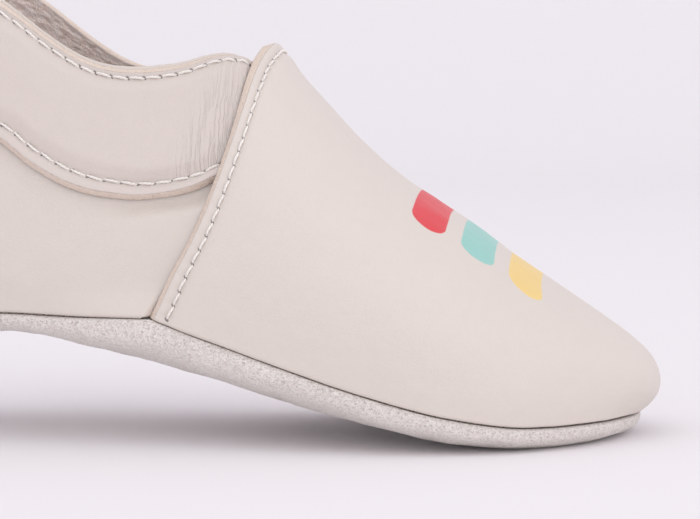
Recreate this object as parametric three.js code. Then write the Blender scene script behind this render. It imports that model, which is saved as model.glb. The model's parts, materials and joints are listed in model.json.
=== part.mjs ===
// Soft-sole leather baby bootie, right foot. Units mm, +X to the toe, -Y to the outer side, +Z up.
// It rests on its forefoot at Z = 0; the waist of the sole rises and the padded heel is clear.
import * as THREE from "three";

// ---------------------------------------------------------------- driving dimensions
const LEATHER = 1.2; // upper leather
const SOLE_LEATHER = 1.2;
const INSOLE = 1.0;
const ELASTIC = 0.55;
const GAP = 0.35; // between two pieces that lie on each other
const SEAM_LIFT = 0.25; // upper edge above the seam line
const SEAM_DROP = 0.15; // sole edge below the seam line
const THROAT_X = -9.5; // where the vamp's cut edge meets the sole seam
const TUCK = 5.5; // how far the quarter runs on under the vamp
const HINGE_X = -9.5; // flex line across the sole
const HINGE_GAP = 0.4;
const SOLE_POWER = 2.8; // squareness of the sole's cross-section

// Seam outline in plan, closed, as [x, y]: toe tip, outer side, heel tip, inner side.
const OUTLINE = [
  [62, 4], [59.6, -7], [54, -16], [44, -24], [30, -28.3], [14, -28], [-2, -26], [-18, -24],
  [-34, -22.3], [-48, -19], [-57.8, -11.6], [-62, 0], [-58, 11.5], [-49, 18.5], [-35, 21.5],
  [-18, 20.8], [-2, 21.6], [14, 24.5], [30, 27.2], [43, 26.5], [53, 21.5], [59.5, 13.5],
];
const HEEL_INDEX = 11;
// Height of the seam: a row of x, then a row of z.
const seamZ = monotoneCurve(
  [-65, -55, -45, -33, -20, -10.5, -8.5, -5.7, 2, 9.7, 17.3, 24.8, 31.9, 39, 45, 50.7, 56.6, 63],
  [
    17.2, 18.0, 19.1, 19.8, 19.4, 19.35, 18.7, 17.7, 15.1, 12.5, 10.0, 7.8, 5.9, 4.5, 3.7, 3.5,
    3.45, 3.4,
  ],
);
// Underside of the sole along its middle, toe to heel, as [x, z].
const KEEL = [
  [62, 3.25], [61.75, 2.1], [60.4, 1.0], [57, 0.15], [52, -0.5], [44, -0.8], [36, -0.15],
  [30, 0.9], [24, 2.2], [16.6, 3.9], [9, 5.9], [1.2, 8.1], [-6.6, 10.3], [-14, 12.2],
  [-20.7, 13.8], [-27, 15.3], [-34, 16.1], [-41, 14.6], [-48, 11.6], [-54, 9.6], [-59, 10.2],
  [-61.5, 13.5], [-62, 17.3],
];
// Ridge of the vamp from the throat to the toe seam, as [x, y, z].
const RIDGE = [
  [4.6, 0, 59.9], [8.6, 0.1, 56.0], [13.9, 0.3, 50.4], [18.9, 0.5, 44.9], [25, 0.7, 39.4],
  [30, 0.9, 36.1], [35, 1.2, 32.9], [40, 1.6, 29.4], [46, 2.2, 24.9], [53.4, 2.9, 19.8],
  [59.4, 3.4, 15.7], [62.4, 3.6, 13.3], [64.3, 3.8, 10.9], [65, 3.9, 8.8], [64.5, 4, 6.6],
  [63.3, 4, 4.8], [62, 4, 3.65],
];
// Top edge of the collar as [x, y, z], from under the vamp on the outer side
// round the heel to the inner side.
const COLLAR = [
  [6.5, -5.2, 58.0], [1.8, -7.6, 58.4], [-4.5, -12.2, 57.9], [-8.6, -15.0, 56.8],
  [-14.6, -16.9, 56.4], [-20, -17.8, 57.5], [-26.1, -18.2, 61.1], [-32.6, -18, 66.1],
  [-42, -16.4, 71.6], [-52, -11.4, 74.8], [-58.5, 0, 75.8], [-53, 11.2, 75.2], [-44, 16, 72.3],
  [-35, 17.4, 67.5], [-26, 17.4, 60.6], [-19, 16.9, 56.7], [-13, 16.0, 56.0],
  [-8.6, 14.6, 56.5], [-4, 12.1, 57.6], [1.8, 7.6, 58.4], [6.5, 5.2, 58.0],
];
// Lower edge of the collar band: a row of x, then a row of z.
const bandZ = monotoneCurve(
  [-68, -60, -50, -40, -32.6, -28.1, -22.6, -18.9, -15.7, -12.7, -9.3, -5.4, -2.9, -0.7, 5],
  [54.0, 53.3, 51.4, 48.3, 45.8, 42.4, 39.3, 38.1, 37.6, 37.3, 37.5, 38.1, 38.9, 40.0, 43.0],
);

const FINISH = {
  vamp: { color: 0xe3d8d3, roughness: 0.62 },
  quarter: { color: 0xddd0ca, roughness: 0.66 },
  band: { color: 0xded0cb, roughness: 0.64 },
  elastic: { color: 0xf3f0ea, roughness: 0.85 },
  outsole: { color: 0xd8cdc6, roughness: 0.85 },
  padding: { color: 0xe9e4d4, roughness: 0.95 },
  insole: { color: 0xcbb8ab, roughness: 0.95 },
  thread: { color: 0xf1ece4, roughness: 0.8 },
  seamThread: { color: 0xe7dfd4, roughness: 0.8 },
};

// ---------------------------------------------------------------- numbers and vectors
const clamp = (x, low = 0, high = 1) => Math.min(high, Math.max(low, x));
const smooth = (start, end, x) => {
  const t = clamp((x - start) / (end - start));
  return t * t * (3 - 2 * t);
};
// Values of f(fraction, index) at count + 1 even steps from 0 to 1.
const sample = (count, f) => Array.from({ length: count + 1 }, (_, i) => f(i / count, i));
const mix = (a, b, t) => a.map((v, k) => v + (b[k] - v) * t);
const sub = (a, b) => a.map((v, k) => v - b[k]);
const add = (a, b, scale = 1) => a.map((v, k) => v + b[k] * scale);
const dot = (a, b) => a[0] * b[0] + a[1] * b[1] + a[2] * b[2];
const cross = (a, b) => [
  a[1] * b[2] - a[2] * b[1],
  a[2] * b[0] - a[0] * b[2],
  a[0] * b[1] - a[1] * b[0],
];
const distance = (a, b) => Math.hypot(...sub(a, b));
const unit = (a) => {
  const size = Math.hypot(...a) || 1;
  return a.map((v) => v / size);
};
// The vector or its opposite, whichever points to the side of `away`.
const facing = (vector, away) => (dot(vector, away) >= 0 ? vector : vector.map((v) => -v));
// Level unit vector square to a direction.
const sideways = (direction) => unit([direction[1], -direction[0], 0]);

// ---------------------------------------------------------------- curves
function hermite(a, b, slopeA, slopeB, span, t) {
  const t2 = t * t;
  const t3 = t2 * t;
  return (2 * t3 - 3 * t2 + 1) * a + (t3 - 2 * t2 + t) * span * slopeA
    + (-2 * t3 + 3 * t2) * b + (t3 - t2) * span * slopeB;
}

// Cubic through a table that never overshoots its values (PCHIP), held constant past the ends.
function monotoneCurve(xs, ys) {
  const last = xs.length - 1;
  const spans = xs.slice(1).map((x, i) => x - xs[i]);
  const secants = spans.map((span, i) => (ys[i + 1] - ys[i]) / span);
  const slopes = xs.map((_, i) => {
    if (i === 0) return secants[0];
    if (i === last) return secants[last - 1];
    if (secants[i - 1] * secants[i] <= 0) return 0;
    const before = 2 * spans[i] + spans[i - 1];
    const after = spans[i] + 2 * spans[i - 1];
    return (before + after) / (before / secants[i - 1] + after / secants[i]);
  });
  return (x) => {
    const held = Math.min(xs[last], Math.max(xs[0], x));
    let i = 0;
    while (i < last - 1 && held > xs[i + 1]) i++;
    const t = (held - xs[i]) / spans[i];
    return hermite(ys[i], ys[i + 1], slopes[i], slopes[i + 1], spans[i], t);
  };
}

const CURVE_STEPS = 24; // steps between two table points
// Smooth curve through points, as a dense polyline.
function densify(points, closed) {
  const count = points.length;
  const point = (i) => points[(i + count) % count];
  const tangent = (i) => {
    if (!closed && i === 0) return unit(sub(point(1), point(0)));
    if (!closed && i === count - 1) return unit(sub(point(i), point(i - 1)));
    const before = point(i - 1);
    const here = point(i);
    const after = point(i + 1);
    const h0 = distance(before, here);
    const h1 = distance(here, after);
    return here.map(
      (v, k) => (((after[k] - v) / h1) * h0 + ((v - before[k]) / h0) * h1) / (h0 + h1),
    );
  };
  const out = [];
  for (let i = 0; i < (closed ? count : count - 1); i++) {
    const a = point(i);
    const b = point(i + 1);
    const span = distance(a, b);
    const slopeA = tangent(i);
    const slopeB = tangent(closed ? (i + 1) % count : i + 1);
    for (let j = 0; j < CURVE_STEPS; j++) {
      const t = j / CURVE_STEPS;
      out.push(a.map((v, k) => hermite(v, b[k], slopeA[k], slopeB[k], span, t)));
    }
  }
  out.push([...point(closed ? 0 : count - 1)]);
  return out;
}

// A line: a polyline with its running lengths.
function makeLine(points) {
  const lengths = [0];
  for (let i = 1; i < points.length; i++) {
    lengths.push(lengths[i - 1] + distance(points[i], points[i - 1]));
  }
  return { points, lengths, total: lengths[lengths.length - 1] };
}
// Point at a running length; past either end the line goes on straight.
function pointAt({ points, lengths, total }, along) {
  const last = points.length - 1;
  if (along <= 0) return add(points[0], unit(sub(points[1], points[0])), along);
  if (along >= total) {
    return add(points[last], unit(sub(points[last], points[last - 1])), along - total);
  }
  let low = 0;
  let high = last;
  while (high - low > 1) {
    const middle = (low + high) >> 1;
    if (lengths[middle] <= along) low = middle;
    else high = middle;
  }
  const t = (along - lengths[low]) / (lengths[high] - lengths[low] || 1);
  return mix(points[low], points[high], t);
}
// Running length at which the line first reaches an x.
function lengthAtX({ points, lengths, total }, x) {
  for (let i = 1; i < points.length; i++) {
    const x0 = points[i - 1][0];
    const x1 = points[i][0];
    if ((x0 - x) * (x1 - x) <= 0 && x1 !== x0) {
      return lengths[i - 1] + ((x - x0) / (x1 - x0)) * (lengths[i] - lengths[i - 1]);
    }
  }
  return total;
}
const pointAtX = (line, x) => pointAt(line, lengthAtX(line, x));
// Step from a little before a running length to a little after it, kept within the line.
const chordAt = (line, along, reach) => sub(
  pointAt(line, Math.min(line.total, along + reach)),
  pointAt(line, Math.max(0, along - reach)),
);

// ---------------------------------------------------------------- seam, ridge, collar and keel
const seam = densify(OUTLINE, true).map(([x, y]) => [x, y, seamZ(x)]);
const heelStart = HEEL_INDEX * CURVE_STEPS;
const TOE = seam[0];
const HEEL = seam[heelStart];
// Both sides run from toe to heel.
const outer = makeLine(seam.slice(0, heelStart + 1));
const inner = makeLine(seam.slice(heelStart).reverse());
const outerThroat = lengthAtX(outer, THROAT_X);
const innerThroat = lengthAtX(inner, THROAT_X);
const ridge = makeLine(densify(RIDGE, false));
const collar = makeLine(densify(COLLAR, false));
const keel = makeLine(densify(KEEL.map(([x, z]) => [x, 0, z]), false));

// ---------------------------------------------------------------- meshes from grids
// Solid from vertices and triangles, turned inside out if its volume is negative.
function geometry(vertices, triangles) {
  let volume = 0;
  for (const [a, b, c] of triangles) {
    volume += dot(vertices[a], cross(vertices[b], vertices[c]));
  }
  const faces = volume < 0 ? triangles.map(([a, b, c]) => [a, c, b]) : triangles;
  const result = new THREE.BufferGeometry();
  result.setAttribute("position", new THREE.Float32BufferAttribute(vertices.flat(), 3));
  result.setIndex(faces.flat());
  result.computeVertexNormals();
  return result;
}

// Closed sheet between two grids of the same shape. With a pole the last row is one point.
function sheet(top, bottom, pole = false) {
  const rows = top.length - 1;
  const columns = top[0].length - 1;
  const vertices = [];
  const triangles = [];
  const number = (grid) => grid.map((row, i) => {
    const ids = [];
    row.forEach((point, j) => {
      if (pole && i === rows && j > 0) {
        ids.push(ids[0]);
      } else {
        ids.push(vertices.length);
        vertices.push(point);
      }
    });
    return ids;
  });
  const T = number(top);
  const B = number(bottom);
  const triangle = (a, b, c) => {
    if (a !== b && b !== c && a !== c) triangles.push([a, b, c]);
  };
  const quad = (a, b, c, d) => {
    triangle(a, b, c);
    triangle(a, c, d);
  };
  for (let i = 0; i < rows; i++) {
    for (let j = 0; j < columns; j++) {
      quad(T[i][j], T[i + 1][j], T[i + 1][j + 1], T[i][j + 1]);
      quad(B[i][j], B[i][j + 1], B[i + 1][j + 1], B[i + 1][j]);
    }
  }
  for (let i = 0; i < rows; i++) {
    quad(T[i + 1][0], T[i][0], B[i][0], B[i + 1][0]);
    quad(T[i][columns], T[i + 1][columns], B[i + 1][columns], B[i][columns]);
  }
  for (let j = 0; j < columns; j++) {
    quad(T[0][j], T[0][j + 1], B[0][j + 1], B[0][j]);
    if (!pole) quad(T[rows][j + 1], T[rows][j], B[rows][j], B[rows][j + 1]);
  }
  return geometry(vertices, triangles);
}

// Normals of a grid from its neighbours, on the side given by away(point).
function gridNormals(grid, away) {
  const rows = grid.length - 1;
  const columns = grid[0].length - 1;
  return grid.map((row, i) => row.map((point, j) => {
    const down = sub(grid[Math.min(rows, i + 1)][j], grid[Math.max(0, i - 1)][j]);
    const over = sub(row[Math.min(columns, j + 1)], row[Math.max(0, j - 1)]);
    return facing(unit(cross(down, over)), away(point));
  }));
}
const offsetGrid = (grid, normals, amount) =>
  grid.map((row, i) => row.map((point, j) => add(point, normals[i][j], amount(i, j))));

const STITCH = 2.35;
const THREAD_RADIUS = 0.26;
const THREAD_CLEARANCE = 0.17; // under the thread's low points
const THREAD_RISE = 0.1; // of every second point
const THREAD_SIDES = 4;
// A stitched thread: one closed square tube that rises a little over each stitch.
function thread(points, lifts, radius = THREAD_RADIUS) {
  const path = points.map(
    (point, i) => add(point, lifts[i], radius + THREAD_CLEARANCE + THREAD_RISE * (i % 2)),
  );
  const last = path.length - 1;
  const vertices = [];
  const triangles = [];
  path.forEach((point, i) => {
    const tangent = unit(sub(path[Math.min(last, i + 1)], path[Math.max(0, i - 1)]));
    const up = unit(add(lifts[i], tangent, -dot(lifts[i], tangent)));
    const side = cross(tangent, up);
    for (let j = 0; j < THREAD_SIDES; j++) {
      const angle = ((j + 0.5) * 2 * Math.PI) / THREAD_SIDES;
      const raised = add(point, up, radius * Math.cos(angle));
      vertices.push(add(raised, side, radius * Math.sin(angle)));
    }
  });
  for (let i = 0; i < last; i++) {
    for (let j = 0; j < THREAD_SIDES; j++) {
      const a = i * THREAD_SIDES + j;
      const b = i * THREAD_SIDES + ((j + 1) % THREAD_SIDES);
      triangles.push([a, b, b + THREAD_SIDES], [a, b + THREAD_SIDES, a + THREAD_SIDES]);
    }
  }
  const end = last * THREAD_SIDES;
  triangles.push([0, 2, 1], [0, 3, 2], [end, end + 1, end + 2], [end, end + 2, end + 3]);
  return geometry(vertices, triangles);
}

const root = new THREE.Group();
root.name = "baby_bootie";
function addPiece(name, shape, { color, roughness }) {
  const material = new THREE.MeshStandardMaterial({ color, roughness, metalness: 0 });
  const mesh = new THREE.Mesh(shape, material);
  mesh.name = name;
  root.add(mesh);
}

// ---------------------------------------------------------------- vamp surface
// u runs from the throat (0) to the toe (1), and a little below 0 under the quarter's side.
const VAMP_POWER = 2.3; // squareness of the arches at the throat
const VAMP_POWER_DROP = 0.15; // less at the toe
const VAMP_SWELL = 4.42; // strength of the outward swell low on each side
const VAMP_BOW = 1.9; // forward bow of the cut edge
const CURVE_SAMPLES = 48; // steps up each half arch and each wall curve

function halfRib(foot, crown, outward, u) {
  const exponent = 2 / (VAMP_POWER - VAMP_POWER_DROP * u);
  const swell = VAMP_SWELL * smooth(-0.1, 0.15, u) * clamp((1 - u) / 0.16);
  const bow = VAMP_BOW * Math.pow(1 - clamp(u), 3);
  return makeLine(sample(CURVE_SAMPLES, (fraction) => {
    const angle = (fraction * Math.PI) / 2;
    const width = Math.pow(Math.cos(angle), exponent);
    const rise = Math.pow(Math.sin(angle), exponent);
    const push = swell * Math.sin(angle) * Math.pow(Math.cos(angle), 2);
    return [
      foot[0] + (crown[0] - foot[0]) * rise + bow * Math.sin(Math.PI * rise) + outward[0] * push,
      crown[1] + (foot[1] - crown[1]) * width + outward[1] * push,
      foot[2] + (crown[2] - foot[2]) * rise,
    ];
  }));
}

const ribs = new Map();
function rib(u) {
  if (ribs.has(u)) return ribs.get(u);
  const crown = pointAt(ridge, ridge.total * u);
  const half = (side, throat, turn) => {
    const along = throat * (1 - u);
    const foot = add(pointAt(side, along), [0, 0, SEAM_LIFT]);
    const tangent = unit(chordAt(side, along, 1));
    return halfRib(foot, crown, [-tangent[1] * turn, tangent[0] * turn, 0], u);
  };
  const made = { outer: half(outer, outerThroat, 1), inner: half(inner, innerThroat, -1) };
  ribs.set(u, made);
  return made;
}
// v runs from the outer seam (0) over the ridge (0.5) to the inner seam (1).
function vampPoint(u, v) {
  const halves = rib(u);
  return v <= 0.5
    ? pointAt(halves.outer, halves.outer.total * 2 * v)
    : pointAt(halves.inner, halves.inner.total * 2 * (1 - v));
}
const vampAway = ([x, y, z]) => [Math.max(0, x - 48), y - 1.5, Math.max(0, z - 6) * 0.6 + 0.5];
function vampNormal(u, v) {
  const stepU = 0.012;
  const stepV = 0.02;
  const alongU = sub(vampPoint(u + stepU, v), vampPoint(u - stepU, v));
  const alongV = sub(vampPoint(u, Math.min(1, v + stepV)), vampPoint(u, Math.max(0, v - stepV)));
  return facing(unit(cross(alongU, alongV)), vampAway(vampPoint(u, v)));
}
// How far the cut edge is set back: a row of z, then a row of setbacks.
const edgeSetback = monotoneCurve(
  [18, 20.5, 25.5, 30, 35, 40, 44.5, 50, 56, 60],
  [0.95, 0.95, 1.05, 0.75, 0.55, 0.47, 0.4, 0.3, 0.25, 0.2],
);
// Vamp point with the setback, which fades out away from the cut edge.
function trimmedVampPoint(u, v) {
  const setback = edgeSetback(vampPoint(u, v)[2]) * (1 - smooth(0, 0.16, u));
  return vampPoint(u - setback / ridge.total, v);
}

// ---------------------------------------------------------------- vamp
function makeVamp() {
  const rows = 24;
  const columns = 20;
  const top = sample(rows, (u) => sample(columns, (v) => trimmedVampPoint(u, v)));
  const bottom = offsetGrid(top, gridNormals(top, vampAway), () => -LEATHER);
  // the toe row is one point, so its thickness is set straight back into the shoe
  bottom[rows] = top[rows].map((point) => add(point, [-1, 0, 0.1], LEATHER));
  return sheet(top, bottom, true);
}

// Stitch row along the vamp's cut edge.
function makeVampThread() {
  const margin = 2.5; // behind the cut edge
  const endInset = 0.012; // in v, at both ends
  const u = margin / outerThroat;
  const rowV = sample(240, (fraction) => endInset + (1 - 2 * endInset) * fraction);
  const edge = makeLine(rowV.map((v) => trimmedVampPoint(u, v)));
  const count = 2 * Math.round(edge.total / STITCH);
  const along = sample(count, (fraction) => edge.total * fraction);
  const lifts = along.map((d) => {
    const next = edge.lengths.findIndex((x) => x >= d - 1e-9);
    return vampNormal(u, rowV[next]);
  });
  return thread(along.map((d) => pointAt(edge, d)), lifts);
}

addPiece("vamp", makeVamp(), FINISH.vamp);
addPiece("vamp_edge_thread", makeVampThread(), FINISH.thread);

// ---------------------------------------------------------------- wall of quarter and band
// Distance runs along the seam from under the vamp on the outer side round to the inner side.
const outerRun = outer.total - (outerThroat - TUCK);
const innerRun = inner.total - (innerThroat - TUCK);
const run = outerRun + innerRun;
const WALL_MIDDLE_X = -28;
const BLEND_START = TUCK + 1; // up to here the wall follows the vamp's underside
const BLEND_END = TUCK + 17; // from here it is free

const wallFoot = (d) => (d <= outerRun
  ? pointAt(outer, outerThroat - TUCK + d)
  : pointAt(inner, inner.total - (d - outerRun)));
const fromEnd = (d) => Math.min(d, run - d);
const outwardFrom = (point, chord) =>
  facing(sideways(chord), [point[0] - WALL_MIDDLE_X, point[1], 0]);

// Bezier from the seam to the collar edge, bellied outward and more so at the heel.
function freeWall(foot, top, d, share) {
  const footChord = sub(wallFoot(Math.min(run, d + 1)), wallFoot(Math.max(0, d - 1)));
  const topChord = chordAt(collar, collar.total * share, 1);
  const height = top[2] - foot[2];
  const heel = smooth(0.3, 0.5, share) * smooth(0.7, 0.5, share);
  const lowBelly = 2.2 + 2.6 * heel;
  const highBelly = 4.6 + 1.2 * heel;
  const low = add(add(foot, [0, 0, 0.34 * height]), outwardFrom(foot, footChord), lowBelly);
  const high = add(add(top, [0, 0, -0.36 * height]), outwardFrom(top, topChord), highBelly);
  return makeLine(sample(CURVE_SAMPLES, (t) => {
    const q = 1 - t;
    return foot.map((v, k) =>
      q * q * q * v + 3 * q * q * t * low[k] + 3 * q * t * t * high[k] + t * t * t * top[k]);
  }));
}

// The quarter steps inward under the collar band.
const bandDip = ([x, , z]) => (LEATHER + GAP) * smooth(-3.2, -0.4, z - bandZ(x));

// Wall lying under the vamp, blended into the free wall.
function tuckedWall(free, top, d, blend) {
  const onOuter = d <= outerRun;
  const end = fromEnd(d);
  const u = (TUCK - end) / (onOuter ? outerThroat : innerThroat);
  const half = onOuter ? rib(u).outer : rib(u).inner;
  // length up the rib at which it is as far in as the collar edge
  let low = 0;
  let high = half.total;
  for (let i = 0; i < 40; i++) {
    const middle = (low + high) / 2;
    if (Math.abs(pointAt(half, middle)[1]) > Math.abs(top[1])) low = middle;
    else high = middle;
  }
  const reach = low / half.total;
  return makeLine(sample(CURVE_SAMPLES, (fraction) => {
    const rise = (reach * fraction) / 2;
    const v = onOuter ? rise : 1 - rise;
    const point = vampPoint(u, v);
    const clearance = 0.8 - 0.3 * fraction
      + 0.55 * clamp(1 - end / 6.5) * smooth(0, 0.2, fraction);
    const depth = LEATHER + clearance + bandDip(point);
    const under = add(point, vampNormal(u, v), -depth);
    return mix(under, pointAt(free, free.total * fraction), blend);
  }));
}

function wallCurve(d) {
  const share = d <= outerRun ? (0.5 * d) / outerRun : 0.5 + (0.5 * (d - outerRun)) / innerRun;
  const foot = add(wallFoot(d), [0, 0, SEAM_LIFT]);
  const top = pointAt(collar, collar.total * share);
  const free = freeWall(foot, top, d, share);
  const blend = smooth(BLEND_START, BLEND_END, fromEnd(d));
  return blend < 1 ? tuckedWall(free, top, d, blend) : free;
}

// Rows up the wall, as shares of its length below and above the band's lower edge.
const LOWER_ROWS = [0, 0.18, 0.38, 0.6, 0.82, 1];
const UPPER_ROWS = [0.14, 0.3, 0.5, 0.72, 0.88, 1];
const BAND_ROW = LOWER_ROWS.length - 1; // first row of the band
function wallRows({ points, lengths, total, ...rest }) {
  const curve = { points, lengths, total, ...rest };
  const above = points.map(([x, , z]) => z - bandZ(x));
  const i = above.findIndex((value, k) => k > 0 && above[k - 1] <= 0 && value > 0);
  const t = -above[i - 1] / (above[i] - above[i - 1]);
  const edge = lengths[i - 1] + t * (lengths[i] - lengths[i - 1]);
  return [
    ...LOWER_ROWS.map((f) => pointAt(curve, edge * f)),
    ...UPPER_ROWS.map((f) => pointAt(curve, edge + (total - edge) * f)),
  ];
}

// Stations along the wall, closer together near the vamp's edges.
const FRONT = [0, 2, 4, TUCK, TUCK + 1.6, TUCK + 3.4, TUCK + 5.6];
const frontEnd = FRONT[FRONT.length - 1];
const stepsAfter = (from, to) => sample(13, (t) => from + (to - from) * t).slice(1);
const stations = [
  ...FRONT,
  ...stepsAfter(frontEnd, outerRun),
  ...stepsAfter(outerRun, run - frontEnd),
  ...FRONT.slice(0, -1).reverse().map((d) => run - d),
];
const stationFrom = (d) => stations.findIndex((station) => station >= d);

function wallAway([x, y, z]) {
  return x > -12
    ? [0.1, y, Math.max(0, (z - 40) * 0.6)]
    : [x - WALL_MIDDLE_X, y, (z - 40) * 0.15];
}
const wallGrid = stations.map((d) => wallRows(wallCurve(d)));
const wallNormals = gridNormals(wallGrid, wallAway);
const quarterInside = offsetGrid(wallGrid, wallNormals, () => -LEATHER);
addPiece("quarter", sheet(wallGrid, quarterInside), FINISH.quarter);

// ---------------------------------------------------------------- collar band and elastic
const ELASTIC_ROWS = [2, 5]; // first and last band row over the elastic
const ELASTIC_LIFT = 0.3; // elastic above the quarter
const ELASTIC_START = TUCK + 3.3;
const bandGrid = wallGrid.map((row) => row.slice(BAND_ROW));
const bandNormals = wallNormals.map((row) => row.slice(BAND_ROW));

// Height of the band's inside above the quarter: it swells over the elastic.
function bandLift(i, row) {
  let share = 0;
  if (row >= ELASTIC_ROWS[0] && row <= ELASTIC_ROWS[1]) share = 1;
  else if (row === 1) share = 0.45;
  const fade = smooth(TUCK + 0.4, ELASTIC_START, fromEnd(stations[i]));
  return GAP + share * (ELASTIC + 0.45) * fade;
}
const bandInside = offsetGrid(bandGrid, bandNormals, bandLift);
const bandOutside = offsetGrid(bandGrid, bandNormals, (i, row) => bandLift(i, row) + LEATHER);
addPiece("collar_band", sheet(bandOutside, bandInside), FINISH.band);

function makeElastic() {
  const first = stationFrom(ELASTIC_START);
  const layer = (lift) => offsetGrid(bandGrid, bandNormals, () => lift)
    .slice(first, stations.length - first)
    .map((row) => row.slice(ELASTIC_ROWS[0], ELASTIC_ROWS[1] + 1));
  return sheet(layer(ELASTIC_LIFT + ELASTIC), layer(ELASTIC_LIFT));
}
addPiece("collar_elastic", makeElastic(), FINISH.elastic);

// Stitch row on the band; heightOn gives its place on a cut of a given length.
function makeBandThread(heightOn) {
  const stitch = STITCH * 1.15;
  const cuts = bandOutside.map(makeLine);
  const path = makeLine(cuts.map((cut) => pointAt(cut, heightOn(cut.total))));
  const cutNormals = cuts.map((cut, i) => {
    const next = cut.lengths.findIndex((x) => x > heightOn(cut.total));
    return unit(add(bandNormals[i][next - 1], bandNormals[i][next]));
  });
  const start = path.lengths[stationFrom(TUCK + 1)] + 0.5;
  const reach = path.total - 2 * start;
  const along = sample(2 * Math.round(reach / stitch), (fraction) => start + reach * fraction);
  const lifts = along.map((d) => {
    const next = path.lengths.findIndex((x) => x > d);
    const before = path.lengths[next - 1];
    const t = (d - before) / (path.lengths[next] - before);
    return unit(mix(cutNormals[next - 1], cutNormals[next], t));
  });
  return thread(along.map((d) => pointAt(path, d)), lifts);
}
addPiece("collar_top_thread", makeBandThread((total) => total - 2.2), FINISH.thread);
addPiece("collar_lower_thread", makeBandThread(() => 1.9), FINISH.thread);

// ---------------------------------------------------------------- sole
const FOREFOOT_START = HINGE_X + HINGE_GAP / 2;
const HEEL_START = HINGE_X - HINGE_GAP / 2;

// The seam's tip point if x is at or past one.
function tipAt(x) {
  if (x > TOE[0] - 1e-6) return TOE;
  if (x < HEEL[0] + 1e-6) return HEEL;
  return null;
}
function soleWidth(x) {
  const y0 = pointAtX(outer, x)[1];
  const y1 = pointAtX(inner, x)[1];
  return { middle: (y0 + y1) / 2, half: (y1 - y0) / 2 };
}
// Point of the sole's outside over x, with v from -1 (outer) to 1 (inner).
function solePoint(x, v) {
  const tip = tipAt(x);
  const edgeZ = seamZ(x) - SEAM_DROP;
  if (tip) return [tip[0], tip[1], edgeZ];
  const { middle, half } = soleWidth(x);
  const fullness = Math.pow(Math.max(0, 1 - Math.pow(Math.abs(v), SOLE_POWER)), 1 / SOLE_POWER);
  const z = edgeZ - (edgeZ - pointAtX(keel, x)[2]) * fullness;
  return [x, middle + half * v, Math.max(0, z)];
}
// Stations from a straight end to a tip, closer together at the tip.
const towardTip = (start, tip, count, f) =>
  sample(count, (fraction) => f(start + (tip - start) * Math.sin((fraction * Math.PI) / 2)));

// Spacing across the sole, even along the superellipse.
const ACROSS = sample(14, (fraction) => {
  const cosine = Math.cos(Math.PI * fraction);
  return -Math.sign(cosine) * Math.pow(Math.abs(cosine), 2 / SOLE_POWER);
});
const soleAway = ([x, y]) => [(x > 0 ? x - 30 : x + 35) * 0.02, (y - 0.5) * 0.3, -8];

function makeOutsole(start, tip, count) {
  const top = towardTip(start, tip, count, (x) => ACROSS.map((v) => solePoint(x, v)));
  const last = ACROSS.length - 1;
  const normals = gridNormals(top, soleAway);
  // the edge faces straight out, and the tip faces along X
  normals.forEach((row, i) => {
    if (i === count) {
      row.fill([Math.sign(tip), 0, 0]);
      return;
    }
    const edgeNormal = (j, away) =>
      facing(sideways(sub(top[i + 1][j], top[Math.max(0, i - 1)][j])), away);
    row[0] = edgeNormal(0, [0, -1, 0]);
    row[last] = edgeNormal(last, [0, 1, 0]);
  });
  const bottom = offsetGrid(top, normals, () => -SOLE_LEATHER);
  // full thickness over the flat that touches the ground
  bottom.forEach((row, i) => row.forEach((point, j) => {
    if (top[i][j][2] < 1e-6) point[2] = Math.max(point[2], SOLE_LEATHER);
  }));
  // the straight end stays in one plane
  bottom[0].forEach((point) => {
    point[0] = start;
  });
  return sheet(top, bottom, true);
}
addPiece("outsole_forefoot", makeOutsole(FOREFOOT_START, TOE[0], 18), FINISH.outsole);
addPiece("outsole_heel", makeOutsole(HEEL_START, HEEL[0], 14), FINISH.outsole);

// ---------------------------------------------------------------- padding and insole
const BED_INSET = 3.6; // insole tip behind the toe tip
const BED_SCALE = (TOE[0] - BED_INSET) / TOE[0];
const BED_TOE = TOE[0] * BED_SCALE;
const BED_HEEL = HEEL[0] * BED_SCALE;
const PAD_INSET = 0.8; // padding tips inside the insole's
const PAD_LIFT = 0.25; // padding top above the seam
const PAD_EDGE_DROP = 0.35; // padding underside at least this far below the seam
const PAD_CLEARANCE = GAP + 0.05;

// Solid inside the seam outline; widthScale narrows it, low and high give its two faces.
function makeBed({ start, tip, rows, columns, widthScale, low, high }) {
  const plan = towardTip(start, tip, rows, (x) => {
    const seamX = clamp(x / BED_SCALE, HEEL[0], TOE[0]);
    const end = tipAt(seamX);
    const { middle, half } = end ? { middle: end[1], half: 0 } : soleWidth(seamX);
    return sample(columns, (f) => [x, middle - half * widthScale * Math.cos(Math.PI * f)]);
  });
  const face = (height) => plan.map((row) => row.map(([x, y]) => [x, y, height(x, y)]));
  return sheet(face(high), face(low), true);
}

function soleZ(x, y) {
  const { middle, half } = soleWidth(x);
  return solePoint(x, (y - middle) / half)[2];
}
// Padding underside: the sole's outside raised by its thickness, allowing for the slope.
function padLow(x, y) {
  const step = 0.4;
  const slopeX = (soleZ(x + step, y) - soleZ(x - step, y)) / (2 * step);
  const slopeY = (soleZ(x, y + step) - soleZ(x, y - step)) / (2 * step);
  const thickness = SOLE_LEATHER * Math.sqrt(1 + slopeX * slopeX + slopeY * slopeY);
  return Math.min(soleZ(x, y) + thickness + PAD_CLEARANCE, seamZ(x) - PAD_EDGE_DROP);
}
const padHigh = (x) => seamZ(x) + PAD_LIFT;
const insoleLow = (x) => padHigh(x) + GAP;
const insoleHigh = (x) => insoleLow(x) + INSOLE;

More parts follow.
